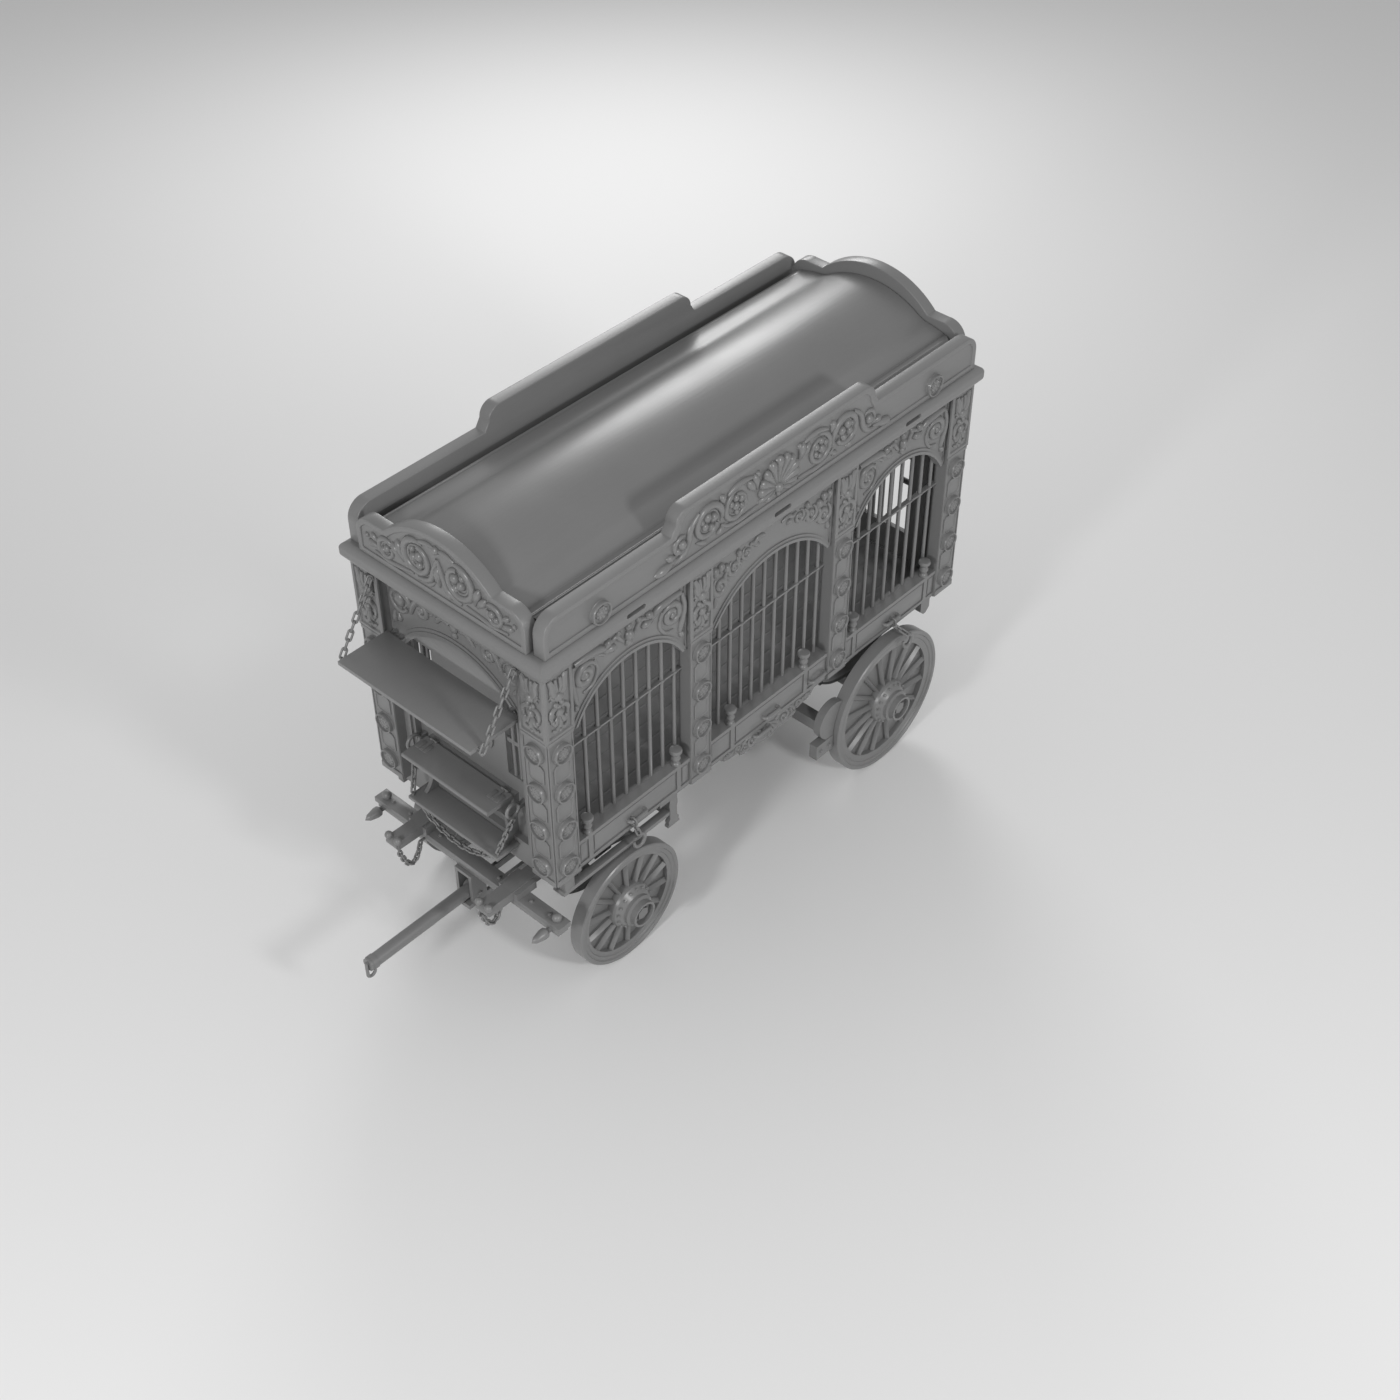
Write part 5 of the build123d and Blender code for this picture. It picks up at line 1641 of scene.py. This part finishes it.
@dataclass
class SillFittings:
    """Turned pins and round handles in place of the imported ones."""

    layout: Layout
    sill_top: float = 1.505
    pin_y: float = 0.844
    pins: tuple[float, ...] = (-1.836, -0.9655, -0.4025, 0.4025, 0.9655, 1.836)
    pin_form: tuple[Spot, ...] = (
        (0.034, -0.002), (0.034, 0.014), (0.026, 0.020), (0.022, 0.034), (0.028, 0.046), (0.034, 0.058),
        (0.034, 0.068), (0.027, 0.082), (0.024, 0.092), (0.030, 0.104), (0.042, 0.112), (0.046, 0.120),
        (0.046, 0.136), (0.042, 0.145), (0.030, 0.149), (0.004, 0.150),
    )
    strap_top: float = 0.02
    strap_reach: float = 0.885
    handle_half: float = 0.080
    handle_out: float = 0.042
    handle_foot: float = -0.004
    handle_turn: float = 0.020
    handle_steps: int = 4
    handle_bar: float = 0.0150
    handles: tuple[Point, ...] = (
        (-1.40075, 0.862, 1.355), (-0.520, 0.862, 1.355), (0.0, 0.862, 1.355), (1.40075, 0.862, 1.355),
        (0.090, 0.858, 1.230),
    )

    def kept(self, node: str) -> bpy.types.Object:
        """Apron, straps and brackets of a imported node, without its pins and handles.

        Args:
            node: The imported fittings.

        Returns:
            What stays.
        """
        piece = SoftenedTimber().repeat(node)
        Bench.pick(piece)
        bpy.ops.mesh.separate(type="LOOSE")
        stays = []
        for part in list(bpy.context.selected_objects):
            spots = [vertex.co for vertex in part.data.vertices]
            top = max(spot.z for spot in spots)
            reach = max(abs(spot.y) for spot in spots)
            if top > self.sill_top + self.strap_top or reach > self.strap_reach:
                bpy.data.objects.remove(part)
            else:
                stays.append(part)
        return Bench.join(stays, f"{node}_rest")

    def pin(self) -> bpy.types.Object:
        """Turned pin with a mushroom cap.

        Returns:
            The pin at the origin.
        """
        piece = Bench.turned(self.pin_form, sides=24, name="sill_pin")
        Bench.smooth(piece)
        return piece

    def handle(self, place: Point, side: int) -> bpy.types.Object:
        """Round bar handle.

        Args:
            place: Its middle on the face that it stands on.
            side: 1 for the left, -1 for the right.

        Returns:
            The handle.
        """
        x, wall, z = place
        half, out, turn = self.handle_half, self.handle_out, self.handle_turn
        knots = [(-half, self.handle_foot), (-half, 0.4 * out)]
        for k in range(self.handle_steps + 1):
            angle = math.pi - math.pi / 2 * k / self.handle_steps
            knots.append((turn - half + turn * math.cos(angle), out + turn * (math.sin(angle) - 1)))
        knots.extend([(-u, v) for u, v in reversed(knots)])
        stroke = [(self.layout.ground(x + u, side * (wall + v), z), self.handle_bar) for u, v in knots]
        return Bench.tubes([stroke], "handle", sides=4)

    def build(self, dresser: Dresser) -> None:
        """Makes the fittings of both sides.

        Args:
            dresser: Finishes the pieces.
        """
        model = self.pin()
        for side, word in ((1, "left"), (-1, "right")):
            node = f"sill_fittings_{word}"
            pieces = [self.kept(node)]
            for x in self.pins:
                spot = self.layout.ground(x, side * self.pin_y, self.sill_top)
                pieces.append(Bench.copy(model, Matrix.Translation(spot)))
            pieces.extend(self.handle(place, side) for place in self.handles)
            piece = Bench.join(pieces, f"{node}_round")
            Bench.smooth(piece)
            dresser.dress(piece, WAGON, dresser.iron)
            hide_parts(node)
        bpy.data.objects.remove(model)


@dataclass
class WheelDressing:
    """Bolt rings on the hubs' cones."""

    layout: Layout
    bolt: float = 0.010
    bolt_form: tuple[Spot, ...] = (
        (1.5, -0.004), (1.5, 0.003), (1.0, 0.004), (1.0, 0.010), (0.75, 0.013), (0.2, 0.014),
    )
    ring: float = 0.158
    out: float = 0.027
    lean: float = 46.0
    count: int = 16
    wheels: tuple[tuple[str, float, float, float], ...] = (
        ("front", 1.485, 0.502, 0.880),
        ("rear", -1.331, 0.614, 0.968),
    )

    def build(self, dresser: Dresser) -> None:
        """Makes the bolts of all four wheels.

        Args:
            dresser: Finishes the pieces.
        """
        rings = [(share * self.bolt, level) for share, level in self.bolt_form]
        model = Bench.turned(rings, sides=10, name="bolt")
        Bench.smooth(model)
        tilt = Matrix.Rotation(math.radians(self.lean), 4, "Y")
        for place, x, radius, face_y in self.wheels:
            for word, (face, side) in zip(("left", "right"), SIDES):
                centre = face.plane(self.layout.ground(x, side * face_y, radius))
                pieces = []
                for i in range(self.count):
                    turn = Matrix.Rotation(2 * math.pi * (i + 0.5) / self.count, 4, "Z")
                    spot = Matrix.Translation((self.ring, 0, self.out))
                    pieces.append(Bench.copy(model, centre @ turn @ spot @ tilt))
                piece = Bench.join(pieces, f"hub_bolts_{place}_{word}")
                dresser.dress(piece, f"wheel_{place}_{word}", dresser.iron)
        bpy.data.objects.remove(model)


@dataclass
class Chains:
    """Round-wire chains, eyes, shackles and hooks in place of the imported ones."""

    layout: Layout
    wire: float = 0.0080
    wide: float = 0.048
    bite: float = 0.002
    eye_rod: float = 0.010
    rod_tip: float = 0.75
    rod_ease: Spot = (0.2, 0.3)
    track_points: int = 400
    hood_eye: Point = (2.212, 0.665, 3.089)
    hood_end: Point = (2.515, 0.665, 2.615)
    hood_links: int = 9
    hood_reach: Spot = (0.0078, 0.005)
    peg_drop: float = 0.018
    peg_radius: float = 0.007
    peg_root: float = 0.6295
    boss_radius: float = 0.013
    boss_y: Spot = (0.6745, 0.664)
    stay_ring: Point = (2.170, 0.490, 1.631)
    stay_eye: Point = (2.281, 0.425, 1.351)
    stay_root: float = 1.320
    stay_links: int = 7
    swags: tuple[tuple[float, float, float, int], ...] = (
        (2.280, 0.330, 0.116, 13),
        (2.225, 0.290, 0.072, 11),
    )
    swag_z: float = 1.257
    swag_rod: float = 0.036
    arm_tip: Point = (2.476, 0.416, 0.902)
    arm_root: float = 0.970
    bar_eye: Point = (2.280, 0.416, 0.863)
    bar_root: float = 2.242
    loop_links: int = 11
    loop_drop: float = 0.172
    lock_rows: tuple[tuple[Point, Point], ...] = (
        ((1.45275, 0.902, 1.3497), (1.40575, 0.904, 1.188)),
        ((-1.40075, 0.902, 1.3497), (-1.44975, 1.016, 1.252)),
    )
    lock_links: int = 2
    shackle_radius: float = 0.030
    hook_radius: float = 0.052
    hook_wire: float = 0.0155
    hook_gap: float = 0.006
    hook_steps: int = 22
    hook_sweep: float = 290.0
    hook_taper: tuple[Spot, Spot] = ((0.7, 0.1), (0.55, 0.075))

    def links(self, points: Sequence[Vector], side: Vector) -> list[bpy.types.Object]:
        """Links through a run of joint points, turned by a quarter from one to the next.

        Args:
            points: The joints, evenly spaced.
            side: Direction across the first link.

        Returns:
            The links.
        """
        pitch = (points[1] - points[0]).length
        major = self.wide / 2 - self.wire
        shift = (pitch + 4 * self.wire - self.bite - self.wide) / 2
        Bench.clear()
        bpy.ops.mesh.primitive_torus_add(
            major_segments=18, minor_segments=8, major_radius=major, minor_radius=self.wire
        )
        model = bpy.context.object
        for way in (-1, 1):
            Bench.pull(model, way, shift)
        found = []
        for i, (start, end) in enumerate(zip(points, points[1:])):
            run = (end - start).normalized()
            across = run.cross(side).normalized()
            normal = across if i % 2 else run.cross(across).normalized()
            place = Matrix((run, normal.cross(run), normal)).transposed().to_4x4()
            place.translation = (start + end) / 2
            found.append(Bench.copy(model, place))
        bpy.data.objects.remove(model)
        return found

    def spaced(self, start: Vector, end: Vector, count: int, drop: float = 0.0) -> list[Vector]:
        """Joints on a straight or hanging run at equal distances.

        Args:
            start: First joint.
            end: Last joint.
            count: Number of links.
            drop: Sag at the middle.

        Returns:
            The joints.
        """
        fine = self.track_points
        track = []
        for i in range(fine + 1):
            t = i / fine
            track.append(start.lerp(end, t) - Vector((0, 0, 4 * drop * t * (1 - t))))
        gone = [0.0]
        for a, b in zip(track, track[1:]):
            gone.append(gone[-1] + (b - a).length)
        joints = []
        for k in range(count + 1):
            want = gone[-1] * k / count
            near = min(range(fine + 1), key=lambda i: abs(gone[i] - want))
            joints.append(track[near])
        return joints

    def shackle(self, centre: Vector) -> bpy.types.Object:
        """Iron shackle, drawn out at its foot so that a link hangs in it.

        Args:
            centre: Its middle, with its axis along x.

        Returns:
            The shackle.
        """
        Bench.clear()
        bpy.ops.mesh.primitive_torus_add(
            major_segments=22, minor_segments=10, major_radius=self.shackle_radius, minor_radius=self.wire
        )
        piece = bpy.context.object
        Bench.pull(piece, 1, self.wire)
        upright = Matrix.Rotation(math.pi / 2, 4, "Y")
        piece.data.transform(Matrix.Translation(centre) @ upright)
        return piece

    def rod(self, start: Vector, end: Vector, radius: float) -> bpy.types.Object:
        """Short round rod with eased ends.

        Args:
            start: One end.
            end: The other end.
            radius: Its radius.

        Returns:
            The rod.
        """
        along, across = self.rod_ease
        run = (end - start).normalized() * min(along * (end - start).length, across * radius)
        tip = self.rod_tip * radius
        stroke = [(start, tip), (start + run, radius), (end - run, radius), (end, tip)]
        return Bench.tubes([stroke], "rod", sides=4)

    def hood(self, side: int) -> list[bpy.types.Object]:
        """Chain from a corner post to the hood's end.

        Args:
            side: 1 for the left, -1 for the right.

        Returns:
            The chain's links, its peg and the peg's boss.
        """
        top = self.layout.beside(self.hood_eye, side)
        low = self.layout.beside(self.hood_end, side)
        along = (low - top).normalized()
        peg = low + along * self.peg_drop
        askew = along.cross(LEFTWARD) + LEFTWARD
        above, below = self.hood_reach
        joints = self.spaced(top - along * above, peg - along * below, self.hood_links)
        places = (self.peg_root, *self.boss_y)
        root, outer, inner = (Vector((peg.x, side * y, peg.z)) for y in places)
        boss = self.rod(outer, inner, self.boss_radius)
        return [*self.links(joints, askew), self.rod(root, peg, self.peg_radius), boss]

    def footboard(self) -> list[bpy.types.Object]:
        """Stay chains and the two swags under the footboard.

        Returns:
            The links and eye rods.
        """
        found = []
        box = self.layout
        for side in (-1, 1):
            eye = box.beside(self.stay_eye, side)
            joints = self.spaced(box.beside(self.stay_ring, side), eye, self.stay_links)
            found.extend(self.links(joints, LEFTWARD))
            found.append(self.rod(box.beside((*self.stay_eye[:2], self.stay_root), side), eye, self.eye_rod))
        for x, half, drop, count in self.swags:
            ends = [box.ground(x, -half, self.swag_z), box.ground(x, half, self.swag_z)]
            found.extend(self.links(self.spaced(*ends, count, drop), AHEAD))
            for end in ends:
                found.append(self.rod(end, end + Vector((0, 0, self.swag_rod)), self.eye_rod))
        return found

    def futchells(self) -> list[bpy.types.Object]:
        """Loops from the arm tips to the splinter bar.

        Returns:
            The links, hangers and eye rods.
        """
        found = []
        box = self.layout
        for side in (-1, 1):
            tip = box.beside(self.arm_tip, side)
            eye = box.beside(self.bar_eye, side)
            joints = self.spaced(tip, eye, self.loop_links, self.loop_drop)
            found.extend(self.links(joints, LEFTWARD))
            found.append(self.rod(box.beside((*self.arm_tip[:2], self.arm_root), side), tip, self.eye_rod))
            found.append(self.rod(box.beside((self.bar_root, *self.bar_eye[1:]), side), eye, self.eye_rod))
        return found

    def locks(self) -> list[bpy.types.Object]:
        """Shackles on the sill staples, short chains and open hooks.

        Returns:
            The pieces of all four.
        """
        found = []
        hang = Vector((0, 0, self.shackle_radius))
        for side in (-1, 1):
            for staple, hook in self.lock_rows:
                start = self.layout.beside(staple, side)
                end = self.layout.beside(hook, side)
                found.append(self.shackle(start))
                joints = self.spaced(start - hang, end, self.lock_links)
                found.extend(self.links(joints, AHEAD))
                found.append(self.hook(end))
        return found

    def hook(self, top: Vector) -> bpy.types.Object:
        """Stout open hook that hangs below a chain.

        Args:
            top: Where the last link holds it.

        Returns:
            The hook.
        """
        centre = top - Vector((0, 0, self.hook_radius + self.hook_gap))
        last = self.hook_steps
        (head, swell), (tip, fade) = self.hook_taper
        stroke = []
        for i in range(last + 1):
            angle = math.radians(90 + self.hook_sweep * i / last)
            reach = Vector((math.cos(angle), 0, math.sin(angle))) * self.hook_radius
            slim = min(1.0, head + swell * i, tip + fade * (last - i))
            stroke.append((centre + reach, self.hook_wire * slim))
        return Bench.tubes([stroke], "hook", sides=4)

    def build(self, dresser: Dresser) -> None:
        """Makes every chain in its node's place.

        Args:
            dresser: Finishes the pieces.
        """
        rows = (
            (self.hood(1), "hood_chain_left", "hood_chain_left"),
            (self.hood(-1), "hood_chain_right", "hood_chain_right"),
            (self.footboard(), "footboard_chains", WAGON),
            (self.futchells(), "futchell_chains", FORECARRIAGE),
            (self.locks(), "lock_chains", WAGON),
        )
        for pieces, node, body in rows:
            piece = Bench.join(pieces, f"{node}_round")
            Bench.smooth(piece, ROUND_ANGLE)
            dresser.dress(piece, body, dresser.iron)
            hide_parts(node)


@dataclass
class SmallIron:
    """Seat hinge plates and bolt heads."""

    layout: Layout
    seat_top: float = 1.764
    plate_x: Spot = (2.150, 2.222)
    plate_y: Spot = (0.296, 0.408)
    plate_proud: float = 0.002
    plate_sunk: float = 0.004
    rib_x: Spot = (2.146, 2.226)
    rib_y: float = 0.300
    rib_pitch: float = 0.036
    rib_wide: float = 0.032
    rib_proud: float = 0.005
    rib_count: int = 3
    bolt: float = 0.014
    bolt_form: tuple[Spot, ...] = (
        (1.6, -0.004), (1.6, 0.003), (1.0, 0.004), (1.0, 0.011), (0.7, 0.015), (0.2, 0.016),
    )
    bar_x: float = 2.187
    bar_top: float = 0.923
    bar_bolts: tuple[float, ...] = (-0.80, -0.62, -0.463, -0.30, 0.30, 0.463, 0.62, 0.80)
    shoe_y: float = 0.924
    shoe_z: float = 0.588
    shoe_bolts: tuple[float, ...] = (-0.660, -0.565)

    def bolts(self, places: Sequence[Matrix], name: str) -> bpy.types.Object:
        """Round-headed bolts.

        Args:
            places: A matrix for each, with the head along local Z.
            name: The piece's name.

        Returns:
            The bolts in one piece.
        """
        rings = [(share * self.bolt, level) for share, level in self.bolt_form]
        model = Bench.turned(rings, sides=12, name="bolt_head")
        piece = Bench.join([Bench.copy(model, place) for place in places], name)
        bpy.data.objects.remove(model)
        Bench.smooth(piece)
        return piece

    def hinge_plates(self) -> bpy.types.Object:
        """Ribbed plates at both ends of the seat.

        Returns:
            The plates.
        """
        foot = self.seat_top - self.plate_sunk
        near = [self.rib_y + self.rib_pitch * k for k in range(self.rib_count)]
        spans = [(self.rib_x, (y, y + self.rib_wide), self.rib_proud) for y in near]
        spans.append((self.plate_x, self.plate_y, self.plate_proud))
        rows = []
        for side in (-1, 1):
            for (x0, x1), (y0, y1), proud in spans:
                low = self.layout.beside((x0, y0, foot), side)
                high = self.layout.beside((x1, y1, self.seat_top + proud), side)
                rows.append((low, high))
        return Bench.boxes(rows, edge=0.002, name="seat_hinge_plates")

    def build(self, dresser: Dresser) -> None:
        """Makes the small iron pieces.

        Args:
            dresser: Finishes the pieces.
        """
        at = self.layout.ground
        dresser.dress(self.hinge_plates(), "seat", dresser.iron)
        top = [Matrix.Translation(at(self.bar_x, y, self.bar_top)) for y in self.bar_bolts]
        dresser.dress(self.bolts(top, "splinter_bar_bolts"), FORECARRIAGE, dresser.iron)
        shoe = []
        for face, side in SIDES:
            shoe.extend(face.plane(at(x, side * self.shoe_y, self.shoe_z)) for x in self.shoe_bolts)
        dresser.dress(self.bolts(shoe, "brake_bolts"), WAGON, dresser.iron)


@dataclass
class Stage:
    """Pale floor, soft lamps and the photograph's camera."""

    eye: Point = (7.697, 7.630, 11.200)
    look: Point = (-0.5448, -0.4956, -0.6764)
    lens: float = 51.39
    sensor: float = 36.0
    sight: float = 200.0
    floor_wide: float = 160.0
    floor_tone: float = 0.78
    floor_roughness: float = 0.9
    aim: Point = (0.0, 0.0, 1.6)
    sky: float = 0.48
    lamps: tuple[tuple[str, Point, float, float], ...] = (
        ("side_key", (1.0, 13.0, 8.5), 2.0, 600.0),
        ("front_key", (13.5, 3.0, 8.0), 2.0, 700.0),
        ("back", (-9.0, -9.0, 8.0), 6.0, 600.0),
    )

    def floor(self) -> None:
        """Lays the plain floor."""
        Bench.clear()
        bpy.ops.mesh.primitive_grid_add(x_subdivisions=2, y_subdivisions=2, size=self.floor_wide)
        ground = bpy.context.object
        ground.name = "studio_floor"
        graph = Graph("studio_floor")
        tone = (self.floor_tone,) * 3
        shader = graph.add(
            "ShaderNodeBsdfPrincipled",
            {},
            {"Base Color": (*tone, 1.0), "Roughness": self.floor_roughness},
            "BSDF",
        )
        graph.add("ShaderNodeOutputMaterial", {}, {"Surface": shader})
        ground.data.materials.append(graph.material)

    def lamp(self, name: str, spot: Point, size: float, power: float) -> None:
        """Hangs one soft lamp that faces the wagon.

        Args:
            name: The lamp's name.
            spot: Its place.
            size: Its width.
            power: Its power in watts.
        """
        light = bpy.data.lights.new(name, "AREA")
        light.shape = "DISK"
        light.size = size
        light.energy = power
        holder = bpy.data.objects.new(name, light)
        bpy.context.scene.collection.objects.link(holder)
        holder.location = spot
        aim = Vector(self.aim) - Vector(spot)
        holder.rotation_euler = aim.to_track_quat("-Z", "Y").to_euler()

    def light(self) -> None:
        """Hangs the lamps and sets the pale sky."""
        for row in self.lamps:
            self.lamp(*row)
        world = bpy.data.worlds.new("studio")
        world.use_nodes = True
        back = world.node_tree.nodes["Background"]
        back.inputs["Color"].default_value = (1.0, 1.0, 1.0, 1.0)
        back.inputs["Strength"].default_value = self.sky
        bpy.context.scene.world = world

    def build(self) -> None:
        """Sets the floor, lamps, world and camera."""
        self.floor()
        self.light()
        camera = bpy.data.cameras.new("camera")
        camera.lens = self.lens
        camera.sensor_width = self.sensor
        camera.clip_end = self.sight
        holder = bpy.data.objects.new("camera", camera)
        bpy.context.scene.collection.objects.link(holder)
        holder.location = self.eye
        holder.rotation_euler = Vector(self.look).to_track_quat("-Z", "Y").to_euler()
        bpy.context.scene.camera = holder
        bpy.context.scene.view_settings.view_transform = "Standard"


def main() -> None:
    """Dresses the wagon piece by piece."""
    logging.basicConfig(level=logging.INFO, format="%(message)s")
    layout = Layout.read()
    dresser = Dresser()
    dresser.paint_nodes()
    SoftenedTimber().build(dresser)
    PostDressing(layout).build(dresser)
    Spandrels(layout).build(dresser)
    BoardCarving(layout).build(dresser)
    SillDressing(layout).build(dresser)
    Bearers(layout).build(dresser)
    SillFittings(layout).build(dresser)
    WheelDressing(layout).build(dresser)
    Chains(layout).build(dresser)
    SmallIron(layout).build(dresser)
    Stage().build()


if __name__ == "__main__":
    main()
